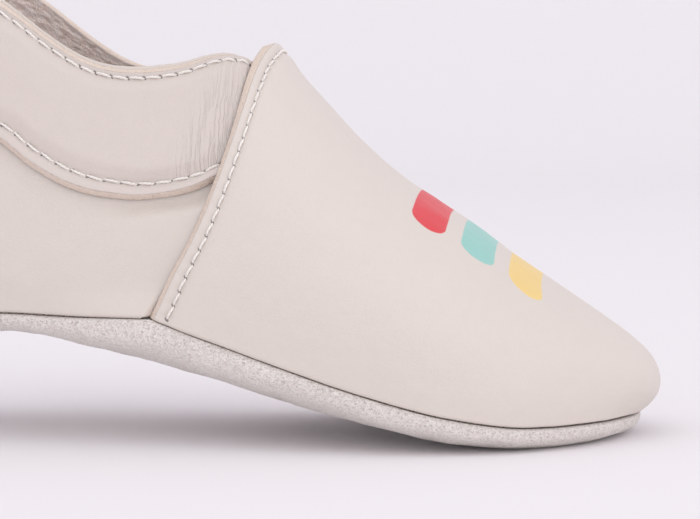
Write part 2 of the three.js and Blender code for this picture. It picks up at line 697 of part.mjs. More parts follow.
const PAD = { columns: 8, widthScale: 0.81, low: padLow, high: padHigh };
const BED = { columns: 6, widthScale: 0.835, low: insoleLow, high: insoleHigh };
const FOREFOOT = { start: FOREFOOT_START, tip: BED_TOE, rows: 12 };
const REAR = { start: HEEL_START, tip: BED_HEEL, rows: 9 };
const padForefoot = makeBed({ ...PAD, ...FOREFOOT, tip: BED_TOE - PAD_INSET });
const padHeel = makeBed({ ...PAD, ...REAR, tip: BED_HEEL + PAD_INSET });
addPiece("padding_forefoot", padForefoot, FINISH.padding);
addPiece("padding_heel", padHeel, FINISH.padding);
addPiece("insole_forefoot", makeBed({ ...BED, ...FOREFOOT }), FINISH.insole);
addPiece("insole_heel", makeBed({ ...BED, ...REAR }), FINISH.insole);

// ---------------------------------------------------------------- seam threads
// Closing stitch of the turned seam, just inside it.
function makeSeamThread(points) {
  const pitch = 3.4;
  const radius = 0.2;
  const raise = 0.05;
  const inset = LEATHER + 0.02;
  const line = makeLine(points);
  const along = sample(Math.round(line.total / pitch), (fraction) => line.total * fraction);
  const onSeam = along.map((d) => pointAt(line, d));
  const inward = onSeam.map(([x, y], i) => {
    const toMiddle = [clamp(x, -42, 40) - x, 0.5 - y, 0];
    return facing(sideways(chordAt(line, along[i], 0.8)), toMiddle);
  });
  const path = onSeam.map(([x, y, z], i) => add([x, y, z + raise], inward[i], inset));
  return thread(path, inward, radius);
}
const cutSeam = (side, from, to) => sample(80, (t) => pointAt(side, from + (to - from) * t));

const foreX = FOREFOOT_START + 7.5; // where the forefoot thread starts and ends
const rearX = HEEL_START - 14; // where the heel thread starts and ends
const forefootSeam = [
  ...cutSeam(outer, lengthAtX(outer, foreX), 0),
  ...cutSeam(inner, 0, lengthAtX(inner, foreX)).slice(1),
];
const heelSeam = [
  ...cutSeam(outer, lengthAtX(outer, rearX), outer.total),
  ...cutSeam(inner, inner.total, lengthAtX(inner, rearX)).slice(1),
];
addPiece("sole_seam_thread_forefoot", makeSeamThread(forefootSeam), FINISH.seamThread);
addPiece("sole_seam_thread_heel", makeSeamThread(heelSeam), FINISH.seamThread);

export default root;
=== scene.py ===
"""Looks of the soft-sole baby bootie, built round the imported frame. All shape work is in millimetres in the row's frame."""

import json
import math

import bpy
import numpy as np
from mathutils import Matrix, Vector


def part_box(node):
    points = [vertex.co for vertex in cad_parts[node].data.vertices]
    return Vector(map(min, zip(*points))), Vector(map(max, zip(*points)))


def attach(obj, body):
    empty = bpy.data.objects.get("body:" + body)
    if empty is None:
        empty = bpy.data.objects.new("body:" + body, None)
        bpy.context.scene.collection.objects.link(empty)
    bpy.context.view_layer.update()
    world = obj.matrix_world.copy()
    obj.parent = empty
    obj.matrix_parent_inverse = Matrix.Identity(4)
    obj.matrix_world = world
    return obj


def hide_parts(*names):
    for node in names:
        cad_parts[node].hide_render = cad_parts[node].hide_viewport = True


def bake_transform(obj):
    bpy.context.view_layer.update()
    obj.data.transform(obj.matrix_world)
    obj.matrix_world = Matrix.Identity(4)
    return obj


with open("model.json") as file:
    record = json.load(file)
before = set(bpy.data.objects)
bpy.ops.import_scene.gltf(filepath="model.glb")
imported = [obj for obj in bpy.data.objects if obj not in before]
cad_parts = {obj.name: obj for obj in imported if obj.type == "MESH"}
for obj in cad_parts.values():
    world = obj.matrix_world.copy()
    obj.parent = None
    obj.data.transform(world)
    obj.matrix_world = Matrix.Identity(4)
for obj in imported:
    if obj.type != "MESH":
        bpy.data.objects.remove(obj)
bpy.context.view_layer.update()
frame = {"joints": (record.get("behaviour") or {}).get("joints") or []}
np.random.seed(11)

# ------------------------------------------------------------------ shape of the bootie (mm, same frame as the CAD)
LEATHER, SOLE_T, GAP = 1.2, 1.2, 0.35
THROAT_X, TUCK = -9.5, 5.5
SOLE_P, VAMP_P, BOW = 2.8, 2.3, 1.9
OUTLINE = np.array([
    [62, 4], [59.6, -7], [54, -16], [44, -24], [30, -28.3], [14, -28], [-2, -26], [-18, -24], [-34, -22.3], [-48, -19], [-57.8, -11.6],
    [-62, 0], [-58, 11.5], [-49, 18.5], [-35, 21.5], [-18, 20.8], [-2, 21.6], [14, 24.5], [30, 27.2], [43, 26.5], [53, 21.5], [59.5, 13.5]], float)
HEEL_INDEX = 11
KEEL = np.array([
    [62, 3.25], [61.75, 2.1], [60.4, 1.0], [57, 0.15], [52, -0.5], [44, -0.8], [36, -0.15], [30, 0.9], [24, 2.2], [16.6, 3.9], [9, 5.9], [1.2, 8.1],
    [-6.6, 10.3], [-14, 12.2], [-20.7, 13.8], [-27, 15.3], [-34, 16.1], [-41, 14.6], [-48, 11.6], [-54, 9.6], [-59, 10.2], [-61.5, 13.5], [-62, 17.3]], float)
RIDGE = np.array([
    [4.6, 0, 59.9], [8.6, 0.1, 56.0], [13.9, 0.3, 50.4], [18.9, 0.5, 44.9], [25, 0.7, 39.4], [30, 0.9, 36.1], [35, 1.2, 32.9], [40, 1.6, 29.4], [46, 2.2, 24.9],
    [53.4, 2.9, 19.8], [59.4, 3.4, 15.7], [62.4, 3.6, 13.3], [64.3, 3.8, 10.9], [65, 3.9, 8.8], [64.5, 4, 6.6], [63.3, 4, 4.8], [62, 4, 3.65]], float)
COLLAR = np.array([
    [6.5, -5.2, 58.0], [1.8, -7.6, 58.4], [-4.5, -12.2, 57.9], [-8.6, -15.0, 56.8], [-14.6, -16.9, 56.4], [-20, -17.8, 57.5], [-26.1, -18.2, 61.1], [-32.6, -18, 66.1],
    [-42, -16.4, 71.6], [-52, -11.4, 74.8], [-58.5, 0, 75.8], [-53, 11.2, 75.2], [-44, 16, 72.3], [-35, 17.4, 67.5], [-26, 17.4, 60.6], [-19, 16.9, 56.7],
    [-13, 16.0, 56.0], [-8.6, 14.6, 56.5], [-4, 12.1, 57.6], [1.8, 7.6, 58.4], [6.5, 5.2, 58.0]], float)


def pchip(xs, ys):
    xs, ys = np.array(xs, float), np.array(ys, float)
    h, d = np.diff(xs), np.diff(ys) / np.diff(xs)
    m = np.zeros(len(xs))
    m[0], m[-1] = d[0], d[-1]
    for i in range(1, len(xs) - 1):
        if d[i - 1] * d[i] > 0:
            w1, w2 = 2 * h[i] + h[i - 1], h[i] + 2 * h[i - 1]
            m[i] = (w1 + w2) / (w1 / d[i - 1] + w2 / d[i])

    def f(x):
        x = np.clip(x, xs[0], xs[-1])
        i = np.clip(np.searchsorted(xs, x, side="left") - 1, 0, len(xs) - 2)
        t = (x - xs[i]) / h[i]
        return (2 * t**3 - 3 * t**2 + 1) * ys[i] + (t**3 - 2 * t**2 + t) * h[i] * m[i] + (-2 * t**3 + 3 * t**2) * ys[i + 1] + (t**3 - t**2) * h[i] * m[i + 1]

    return f


SEAM_Z = pchip([-65, -55, -45, -33, -20, -10.5, -8.5, -5.7, 2, 9.7, 17.3, 24.8, 31.9, 39, 45, 50.7, 56.6, 63],
               [17.2, 18.0, 19.1, 19.8, 19.4, 19.35, 18.7, 17.7, 15.1, 12.5, 10.0, 7.8, 5.9, 4.5, 3.7, 3.5, 3.45, 3.4])
BAND_Z = pchip([-68, -60, -50, -40, -32.6, -28.1, -22.6, -18.9, -15.7, -12.7, -9.3, -5.4, -2.9, -0.7, 5],
               [54.0, 53.3, 51.4, 48.3, 45.8, 42.4, 39.3, 38.1, 37.6, 37.3, 37.5, 38.1, 38.9, 40.0, 43.0])


def smooth(a, b, x):
    t = np.clip((np.asarray(x, float) - a) / (b - a), 0, 1)
    return t * t * (3 - 2 * t)


def unit(a):
    return a / np.maximum(1e-12, np.linalg.norm(a, axis=-1, keepdims=True))


def dense(pts, closed, per=24):
    n = len(pts)
    dist = lambda a, b: np.linalg.norm(a - b)

    def tangent(i):
        if not closed and i == 0:
            return (pts[1] - pts[0]) / dist(pts[0], pts[1])
        if not closed and i == n - 1:
            return (pts[-1] - pts[-2]) / dist(pts[-1], pts[-2])
        a, b, c = pts[(i - 1) % n], pts[i % n], pts[(i + 1) % n]
        h0, h1 = dist(a, b), dist(b, c)
        return ((c - b) / h1 * h0 + (b - a) / h0 * h1) / (h0 + h1)

    out = []
    t = (np.arange(per) / per)[:, None]
    for i in range(n if closed else n - 1):
        a, b = pts[i], pts[(i + 1) % n]
        h = dist(a, b)
        out.append((2 * t**3 - 3 * t**2 + 1) * a + (t**3 - 2 * t**2 + t) * h * tangent(i) + (-2 * t**3 + 3 * t**2) * b + (t**3 - t**2) * h * tangent(i + 1 if not closed else (i + 1) % n))
    out.append(pts[:1] if closed else pts[-1:])
    return np.concatenate(out)


def relax(poly, closed, times=60):
    """Evens out the curvature of a dense curve without moving its ends."""
    p = poly.copy()
    for _ in range(times):
        if closed:
            q = p[:-1]
            q = 0.25 * np.roll(q, 1, 0) + 0.5 * q + 0.25 * np.roll(q, -1, 0)
            p = np.concatenate([q, q[:1]])
        else:
            p[1:-1] = 0.25 * p[:-2] + 0.5 * p[1:-1] + 0.25 * p[2:]
    return p


class Arc:
    """A polyline by its running length."""

    def __init__(s, poly):
        s.p = np.asarray(poly, float)
        s.L = np.concatenate([[0], np.cumsum(np.linalg.norm(np.diff(s.p, axis=0), axis=1))])
        s.total = s.L[-1]

    def at(s, d):
        d = np.asarray(d, float)
        out = np.stack([np.interp(d, s.L, s.p[:, k]) for k in range(s.p.shape[1])], -1)
        a, b = unit(s.p[1] - s.p[0]), unit(s.p[-1] - s.p[-2])
        out = out + np.minimum(d, 0)[..., None] * a + np.maximum(d - s.total, 0)[..., None] * b
        return out

    def where(s, k, value):
        """Length at which coordinate k, falling along the curve, reaches value."""
        return np.interp(-np.asarray(value, float), -s.p[:, k], s.L)


PER = 24
_flat = relax(dense(OUTLINE, True, PER), True, 40)
_seam = np.column_stack([_flat, SEAM_Z(_flat[:, 0])])
OUTER = Arc(_seam[: HEEL_INDEX * PER + 1])
INNER = Arc(_seam[HEEL_INDEX * PER:][::-1])
OUTER_V, INNER_V = float(OUTER.where(0, THROAT_X)), float(INNER.where(0, THROAT_X))
RIDGE_A = Arc(relax(dense(RIDGE, False, PER), False, 60))
COLLAR_A = Arc(relax(dense(COLLAR, False, PER), False, 60))
_k = relax(dense(KEEL, False, PER), False, 30)
KEEL_A = Arc(np.column_stack([_k[:, 0], 0 * _k[:, 0], _k[:, 1]]))


def along(a, l, k):
    t = unit((a.at(min(a.total, l + 1)) - a.at(max(0, l - 1)))[:2])
    return np.array([-t[1] * k, t[0] * k, 0])


SWELL = 1.7
_f = np.linspace(0, math.pi / 2, 161)


def rib(u, lift=0.25):
    """The vamp's arch at station u as two half curves, from either seam up to the ridge."""
    up = np.array([0, 0, lift])
    A, B, R = OUTER.at(OUTER_V * (1 - u)) + up, INNER.at(INNER_V * (1 - u)) + up, RIDGE_A.at(RIDGE_A.total * u)
    p = VAMP_P - 0.15 * u
    swell = SWELL * float(smooth(-0.1, 0.15, u)) * min(1, max(0, (1 - u) / 0.16))
    bow = BOW * (1 - min(1, max(0, u))) ** 3
    c, h = np.cos(_f) ** (2 / p), np.sin(_f) ** (2 / p)
    c[-1] = 0
    w = 2.6 * np.sin(_f) * np.cos(_f) ** 2 * swell
    out = []
    for S, o in ((A, along(OUTER, OUTER_V * (1 - u), 1)), (B, along(INNER, INNER_V * (1 - u), -1))):
        out.append(Arc(np.column_stack([S[0] + (R[0] - S[0]) * h + bow * np.sin(math.pi * h) + o[0] * w, R[1] + (S[1] - R[1]) * c + o[1] * w, S[2] + (R[2] - S[2]) * h])))
    return out


def vamp_grid(us, vs, lift=0.25):
    """Points of the vamp: u from the throat to the toe, v from the outer seam (0) over the ridge (0.5) to the inner seam (1)."""
    g = np.zeros((len(us), len(vs), 3))
    left = vs <= 0.5
    for i, u in enumerate(us):
        a, b = rib(float(u), lift)
        g[i, left] = a.at(a.total * 2 * vs[left])
        g[i, ~left] = b.at(b.total * 2 * (1 - vs[~left]))
    return g


# the vamp's cut edge sits a little further back low down
EDGE_BACK = pchip([18, 20.5, 25.5, 30, 35, 40, 44.5, 50, 56, 60], [0.95, 0.95, 1.05, 0.75, 0.55, 0.47, 0.4, 0.3, 0.25, 0.2])


def vamp_from(back, mms, vs, lift=0.25):
    """The vamp with rows at mms (mm along the ridge from the cut edge, taken back low down). mms may be one list or rows x columns."""
    total = RIDGE_A.total
    base = np.concatenate([np.arange(-3.0, 16, 0.5), np.linspace(16, total, 130)])
    G = vamp_grid(base / total, vs, lift)
    mms = np.asarray(mms, float)
    if mms.ndim == 1:
        mms = np.repeat(mms[:, None], len(vs), 1)
    out = np.zeros(mms.shape + (3,))
    for j in range(len(vs)):
        z = np.interp(mms[:, j], base, G[:, j, 2])
        q = mms[:, j] - back * EDGE_BACK(z) * (1 - smooth(0, 0.16 * total, mms[:, j]))
        for k in range(3):
            out[:, j, k] = np.interp(q, base, G[:, j, k])
    return out


def grid_normals(g, away):
    a = np.empty_like(g)
    a[1:-1], a[0], a[-1] = g[2:] - g[:-2], g[1] - g[0], g[-1] - g[-2]
    b = np.empty_like(g)
    b[:, 1:-1], b[:, 0], b[:, -1] = g[:, 2:] - g[:, :-2], g[:, 1] - g[:, 0], g[:, -1] - g[:, -2]
    n = unit(np.cross(a, b))
    return np.where((n * away(g)).sum(-1, keepdims=True) >= 0, n, -n)


def vamp_away(g):
    return np.stack([np.maximum(0, g[..., 0] - 48), g[..., 1] - 1.5, np.maximum(0, g[..., 2] - 6) * 0.6 + 0.5], -1)


OUTER_RUN, INNER_RUN = OUTER.total - (OUTER_V - TUCK), INNER.total - (INNER_V - TUCK)
RUN = OUTER_RUN + INNER_RUN


def base_at(d):
    d = np.asarray(d, float)
    return np.where((d <= OUTER_RUN)[..., None], OUTER.at(OUTER_V - TUCK + d), INNER.at(INNER.total - (d - OUTER_RUN)))


def outward(p, a, b):
    t = unit(np.array([b[0] - a[0], b[1] - a[1], 0]))
    n = np.array([t[1], -t[0], 0])
    return n if n[0] * (p[0] + 28) + n[1] * p[1] >= 0 else -n


def wall(d, lift=0.25, n=97):
    """One upright line of the quarter, d mm along its lower edge from the outer front end."""
    near = d <= OUTER_RUN
    s = 0.5 * d / OUTER_RUN if near else 0.5 + 0.5 * (d - OUTER_RUN) / INNER_RUN
    S, T = base_at(d) + np.array([0, 0, lift]), COLLAR_A.at(COLLAR_A.total * s)
    H = T[2] - S[2]
    oS = outward(S, base_at(max(0, d - 1)), base_at(min(RUN, d + 1)))
    cs = COLLAR_A.total * s
    oT = outward(T, COLLAR_A.at(max(0, cs - 1)), COLLAR_A.at(min(COLLAR_A.total, cs + 1)))
    heel = float(smooth(0.3, 0.5, s) * smooth(0.7, 0.5, s))
    C1, C2 = S + np.array([0, 0, 0.34 * H]) + oS * (2.2 + 2.6 * heel), T - np.array([0, 0, 0.36 * H]) + oT * (4.6 + 1.2 * heel)
    t = np.linspace(0, 1, n)[:, None]
    q = 1 - t
    bez = Arc(q**3 * S + 3 * q * q * t * C1 + 3 * q * t * t * C2 + t**3 * T)
    dd = d if near else RUN - d
    w = float(smooth(TUCK + 1, TUCK + 17, dd))
    if w >= 1:
        return bez
    u = (TUCK - dd) / (OUTER_V if near else INNER_V)
    k = 0 if near else 1
    halves = [rib(u + e)[k] for e in (-0.012, 0, 0.012)]
    r = halves[1]
    ys = np.abs(r.at(np.linspace(0, r.total, 400))[:, 1])
    top = np.linspace(0, r.total, 400)[int(np.argmax(ys <= abs(T[1])))]
    f = t[:, 0]
    P = r.at(top * f)
    du = halves[2].at(halves[2].total * top * f / r.total) - halves[0].at(halves[0].total * top * f / r.total)
    dv = r.at(top * f + 1.2) - r.at(np.maximum(0, top * f - 1.2))
    N = unit(np.cross(du, dv))
    N = np.where((N * vamp_away(P)).sum(-1, keepdims=True) >= 0, N, -N)
    dip = (LEATHER + GAP) * smooth(-3.2, -0.4, P[:, 2] - BAND_Z(P[:, 0]))
    depth = LEATHER + 0.8 - 0.3 * f + dip + 0.55 * max(0, 1 - dd / 6.5) * smooth(0, 0.2, f)
    return Arc((P - N * depth[:, None]) * (1 - w) + bez.at(bez.total * f) * w)


def wall_grid(ds, lower, upper, lift=0.25):
    """Quarter wall points: rows at fractions `lower` below the band's lower edge and `upper` above it. Also the edge's fraction of the height."""
    g, tb = np.zeros((len(ds), len(lower) + len(upper), 3)), np.zeros(len(ds))
    for i, d in enumerate(ds):
        c = wall(float(d), lift)
        f = c.p[:, 2] - BAND_Z(c.p[:, 0])
        k = int(np.argmax((f[:-1] <= 0) & (f[1:] > 0)))
        tb[i] = (c.L[k] + (-f[k] / (f[k + 1] - f[k])) * (c.L[k + 1] - c.L[k])) / c.total
        g[i, : len(lower)] = c.at(c.total * tb[i] * lower)
        g[i, len(lower):] = c.at(c.total * (tb[i] + (1 - tb[i]) * upper))
    return g, tb


def wall_away(g):
    front = np.stack([0 * g[..., 0] + 0.1, g[..., 1], np.maximum(0, (g[..., 2] - 40) * 0.6)], -1)
    back = np.stack([g[..., 0] + 28, g[..., 1], (g[..., 2] - 40) * 0.15], -1)
    return np.where((g[..., :1] > -12), front, back)


TOE_TIP, HEEL_TIP = _seam[0], _seam[HEEL_INDEX * PER]


def y_at(a, x):
    return a.at(a.where(0, x))[..., 1]


def keel_z(x):
    return KEEL_A.at(KEEL_A.where(0, x))[..., 2]


def sole_z(x, v, drop=0.15):
    zs = SEAM_Z(x) - drop
    return np.maximum(0, zs - (zs - keel_z(x)) * np.maximum(0, 1 - np.abs(v) ** SOLE_P) ** (1 / SOLE_P))


def sole_grid(n, m, drop=0.15):
    """Outside of the sole, toe to heel by m across. Both end rows are single points."""
    th = np.linspace(0, math.pi, n + 1)
    xc, xa = (TOE_TIP[0] + HEEL_TIP[0]) / 2, (TOE_TIP[0] - HEEL_TIP[0]) / 2
    xs = xc + xa * np.cos(th)
    a = math.pi * np.arange(m + 1) / m
    v = -np.sign(np.cos(a)) * np.abs(np.cos(a)) ** (2 / SOLE_P)
    v[m // 2] = 0
    y0, y1 = y_at(OUTER, xs), y_at(INNER, xs)
    y0[0] = y1[0] = TOE_TIP[1]
    y0[-1] = y1[-1] = HEEL_TIP[1]
    X = np.repeat(xs[:, None], m + 1, 1)
    Y = (y0 + y1)[:, None] / 2 + (y1 - y0)[:, None] / 2 * v
    Z = sole_z(X, np.repeat(v[None], n + 1, 0), drop)
    Z[0], Z[-1] = SEAM_Z(TOE_TIP[0]) - drop, SEAM_Z(HEEL_TIP[0]) - drop
    return np.stack([X, Y, Z], -1), v


# ------------------------------------------------------------------ where the frame stands
# The shape above is written at its own zero; the frame's boxes say where it really is.
_v0, _v1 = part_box("vamp")
_o0, _o1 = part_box("outsole_forefoot")
SHIFT = np.array([_o1.x * 1000 - TOE_TIP[0] + 0.0, (_o0.y + _o1.y) * 500 - (OUTLINE[4][1] + OUTLINE[18][1]) / 2, _o0.z * 1000])
SHIFT = np.where(np.abs(SHIFT) < 0.4, 0, SHIFT)
HINGE = next(j for j in frame["joints"] if j["name"] == "waist_flex")["pos_m"]
MM = 0.001


# ------------------------------------------------------------------ noise
_r = np.random.RandomState(5)
_perm = np.tile(_r.permutation(256), 3)
_grad = unit(_r.normal(size=(256, 3)))


def perlin(p):
    i = np.floor(p).astype(int)
    f = p - i
    i &= 255
    w = f**3 * (f * (f * 6 - 15) + 10)

    def g(dx, dy, dz):
        h = _perm[_perm[_perm[(i[..., 0] + dx) & 255] + ((i[..., 1] + dy) & 255)] + ((i[..., 2] + dz) & 255)]
        return (_grad[h] * (f - np.array([dx, dy, dz]))).sum(-1)

    l = lambda a, b, t: a + (b - a) * t
    x0 = l(l(g(0, 0, 0), g(1, 0, 0), w[..., 0]), l(g(0, 1, 0), g(1, 1, 0), w[..., 0]), w[..., 1])
    x1 = l(l(g(0, 0, 1), g(1, 0, 1), w[..., 0]), l(g(0, 1, 1), g(1, 1, 1), w[..., 0]), w[..., 1])
    return l(x0, x1, w[..., 2]) * 1.5


def fbm(p, octaves=3, gain=0.5):
    out, a = 0, 1.0
    for k in range(octaves):
        out = out + a * perlin(p * 2**k + 17.3 * k)
        a *= gain
    return out


def vec(*cols):
    return np.stack(np.broadcast_arrays(*[np.asarray(c, float) for c in cols]), -1)


# ------------------------------------------------------------------ meshes
def make_mesh(name, verts, quads, tris, data, mat):
    verts = verts + SHIFT
    v = verts[:, :]
    x = np.concatenate([quads[:, [0, 1, 2]], quads[:, [0, 2, 3]], tris]) if len(tris) else np.concatenate([quads[:, [0, 1, 2]], quads[:, [0, 2, 3]]])
    if np.einsum("ij,ij->i", v[x[:, 0]], np.cross(v[x[:, 1]], v[x[:, 2]])).sum() < 0:
        quads, tris = quads[:, ::-1], tris[:, ::-1]
    me = bpy.data.meshes.new(name)
    me.vertices.add(len(verts))
    me.vertices.foreach_set("co", (verts * MM).astype(np.float32).ravel())
    loops = np.concatenate([quads.ravel(), tris.ravel()]).astype(np.int32)
    me.loops.add(len(loops))
    me.loops.foreach_set("vertex_index", loops)
    starts = np.concatenate([np.arange(len(quads)) * 4, len(quads) * 4 + np.arange(len(tris)) * 3]).astype(np.int32)
    me.polygons.add(len(starts))
    me.polygons.foreach_set("loop_start", starts)
    me.update(calc_edges=True)
    me.validate()
    me.polygons.foreach_set("use_smooth", np.ones(len(me.polygons), bool))
    data = dict(data)
    data["rest"] = verts
    for key, val in data.items():
        val = np.asarray(val, np.float32)
        kind = "FLOAT_VECTOR" if val.ndim == 2 else "FLOAT"
        at = me.attributes.new(key, kind, "POINT")
        at.data.foreach_set("vector" if val.ndim == 2 else "value", val.ravel())
    me.materials.append(mat)
    ob = bpy.data.objects.new(name, me)
    bpy.context.scene.collection.objects.link(ob)
    return ob


def sheet(name, outer, inner, mat, pole=(False, False), rim=4, bulge=0.12, data=None, rough=0.0, soften=0.0):
    """A closed sheet of leather between two grids of the same shape, with rounded cut edges all round. A pole row is one point.
    data: {name: grid or (outer grid, inner grid)}. Adds `rim` (1 on the cut edge) and `side` (1 on the inside)."""
    n, m = outer.shape[0] - 1, outer.shape[1] - 1
    ids = np.arange((n + 1) * (m + 1)).reshape(n + 1, m + 1)
    if pole[0]:
        ids[0] = ids[0, 0]
    if pole[1]:
        ids[n] = ids[n, 0]
    half = (n + 1) * (m + 1)
    a, b, c, d = ids[:-1, :-1].ravel(), ids[1:, :-1].ravel(), ids[1:, 1:].ravel(), ids[:-1, 1:].ravel()
    q = np.column_stack([a, b, c, d])
    top_tri, end_tri = q[:, 0] == q[:, 3], q[:, 1] == q[:, 2]
    good = ~(top_tri | end_tri)
    quads, tris = [q[good]], [q[top_tri][:, [0, 1, 2]], q[end_tri][:, [0, 1, 3]]]
    quads.append(q[good][:, ::-1] + half)
    tris += [t[:, ::-1] + half for t in list(tris)]
    # perimeter
    loop = [(0, 0)] if pole[0] else [(0, j) for j in range(m)]
    loop += [(i, m) for i in range(1 if pole[0] else 0, n)]
    loop += [(n, 0)] if pole[1] else [(n, j) for j in range(m, 0, -1)]
    loop += [(i, 0) for i in range(n - 1 if pole[1] else n, 0, -1)]
    if pole[0]:
        pass
    loop = list(dict.fromkeys(loop))
    li, lj = np.array([p[0] for p in loop]), np.array([p[1] for p in loop])
    O, I = outer[li, lj], inner[li, lj]
    # direction out of the sheet at each perimeter point
    dirs = np.zeros_like(O)
    for k, (i, j) in enumerate(loop):
        if (i == 0 and pole[0]) or (i == n and pole[1]):
            w = outer[i, 0] - outer[abs(i - 1), m // 2]
        else:
            w = np.zeros(3)
            if i == 0:
                w = w + unit(outer[0, j] - outer[1, j])
            if i == n:
                w = w + unit(outer[n, j] - outer[n - 1, j])
            if j == 0:
                w = w + unit(outer[i, 0] - outer[i, 1])
            if j == m:
                w = w + unit(outer[i, m] - outer[i, m - 1])
        dirs[k] = unit(w)
    P = len(loop)
    rows, start = [], 2 * half
    length = np.concatenate([[0], np.cumsum(np.linalg.norm(np.diff(O, axis=0), axis=1))])
    for r in range(1, rim + 1):
        t = r / (rim + 1)
        s = 0.5 - 0.5 * math.cos(math.pi * t)
        row = O + (I - O) * s + dirs * bulge * math.sin(math.pi * t)
        if rough:
            row = row + dirs * (rough * perlin(vec(length * 1.7, r * 0.9, 3.1)))[:, None] + dirs * (rough * 0.6 * perlin(vec(length * 4.3, r * 1.7, 9.1)))[:, None]
        rows.append(row)
    ring = [ids[li, lj]] + [start + r * P + np.arange(P) for r in range(rim)] + [ids[li, lj] + half]
    for r in range(rim + 1):
        A, B = ring[r], ring[r + 1]
        A2, B2 = np.roll(A, -1), np.roll(B, -1)
        f = np.column_stack([A, A2, B2, B])
        quads.append(f)
    verts = np.concatenate([outer.reshape(-1, 3), inner.reshape(-1, 3)] + rows)
    quads = np.concatenate(quads)
    tris = np.concatenate([t for t in tris if len(t)] or [np.zeros((0, 3), int)])
    info = {}
    on_edge = np.zeros((n + 1, m + 1))
    on_edge[li, lj] = 1
    info["rim"] = np.concatenate([on_edge.ravel() * 0.5, on_edge.ravel() * 0.5] + [np.ones(P)] * rim)
    info["side"] = np.concatenate([np.zeros(half), np.ones(half)] + [np.full(P, (r + 1) / (rim + 1)) for r in range(rim)])
    for key, val in (data or {}).items():
        vo, vi = val if isinstance(val, tuple) else (val, val)
        shape = vo.reshape(half, -1) if vo.ndim == 3 else vo.reshape(half)
        shape2 = vi.reshape(half, -1) if vi.ndim == 3 else vi.reshape(half)
        e = vo[li, lj]
        info[key] = np.concatenate([shape, shape2] + [e] * rim)
    # drop points no face uses
    used = np.zeros(len(verts), bool)
    used[quads.ravel()] = True
    used[tris.ravel()] = True
    new = np.cumsum(used) - 1
    verts, quads, tris = verts[used], new[quads], new[tris]
    info = {k: v[used] for k, v in info.items()}
    return make_mesh(name, verts, quads, tris.reshape(-1, 3), info, mat)


def tube(name, path, up, radius, mat, sides=10, data=None):
    """A closed round thread along a path. radius may vary along it."""
    n = len(path)
    radius = np.broadcast_to(radius, (n,)).astype(float)
    t = np.empty_like(path)
    t[1:-1], t[0], t[-1] = path[2:] - path[:-2], path[1] - path[0], path[-1] - path[-2]
    t = unit(t)
    u = unit(up - (up * t).sum(-1, keepdims=True) * t)
    s = np.cross(t, u)
    ang = np.arange(sides) * 2 * math.pi / sides
    ring = path[:, None] + radius[:, None, None] * (u[:, None] * np.cos(ang)[None, :, None] + s[:, None] * np.sin(ang)[None, :, None])
    verts = np.concatenate([ring.reshape(-1, 3), path[:1] - t[:1] * radius[0] * 0.5, path[-1:] + t[-1:] * radius[-1] * 0.5])
    k = np.arange(sides)
    k2 = (k + 1) % sides
    base = (np.arange(n - 1) * sides)[:, None]
    quads = np.stack([base + k, base + k2, base + sides + k2, base + sides + k], -1).reshape(-1, 4)
    a, b = n * sides, n * sides + 1
    tris = np.concatenate([np.column_stack([k2, k, np.full(sides, a)]), np.column_stack([(n - 1) * sides + k, (n - 1) * sides + k2, np.full(sides, b)])])
    L = np.concatenate([[0], np.cumsum(np.linalg.norm(np.diff(path, axis=0), axis=1))])
    info = {"run": np.concatenate([np.repeat(L, sides), [0, L[-1]]]), "turn": np.concatenate([np.tile(ang, n), [0, 0]])}
    for key, val in (data or {}).items():
        info[key] = np.concatenate([np.repeat(val, sides), [val[0], val[-1]]])
    return make_mesh(name, verts, quads, tris, info, mat)


def stitches(name, path, up, mat, pitch=2.35, radius=0.21, lift=0.02, dive=0.5, slant=0.13, per=16):
    """A row of lockstitches as one thread: over the leather from hole to hole, down into each hole. Each stitch lies a little askew."""
    a = Arc(path)
    count = max(1, round(a.total / pitch))
    n = count * per
    d = np.linspace(0, a.total, n + 1)
    P = a.at(d)
    U = unit(np.column_stack([np.interp(d, a.L, up[:, k]) for k in range(3)]))
    T = unit(a.at(d + 0.2) - a.at(d - 0.2))
    S = np.cross(T, U)
    x = d / a.total * count
    f = x - np.floor(np.minimum(x, count - 1e-9))
    k = np.floor(np.minimum(x, count - 1e-9)).astype(int)
    arch = np.sin(math.pi * f) ** 0.42
    jitter = np.random.RandomState(len(name)).uniform(-1, 1, (count + 1, 3))
    h = -dive + (dive + radius * 0.75 + lift) * arch * (1 + 0.08 * jitter[k, 0])
    side = slant * (f - 0.5) * 2 * np.sin(math.pi * f) ** 0.3 * (1 + 0.3 * jitter[k, 1]) + 0.04 * jitter[k, 2]
    path2 = P + U * h[:, None] + S * side[:, None]
    return tube(name, path2, U, radius * (0.6 + 0.4 * arch), mat, sides=10, data={"stitch": f}), a.at(np.arange(count + 1) * a.total / count)


def holes(points, centres, radius):
    """0..1 near the needle holes."""
    out = np.zeros(points.shape[:-1])
    flat = points.reshape(-1, 3)
    o = out.reshape(-1)
    for c in centres:
        near = np.abs(flat - c).max(1) < radius * 2.2
        if near.any():
            d = np.linalg.norm(flat[near] - c, axis=1)
            o[near] = np.maximum(o[near], np.exp(-((d / radius) ** 2)))
    return out


# ------------------------------------------------------------------ materials
def srgb(r, g, b):
    f = lambda c: c / 255 / 12.92 if c <= 10 else ((c / 255 + 0.055) / 1.055) ** 2.4
    return (f(r), f(g), f(b), 1.0)


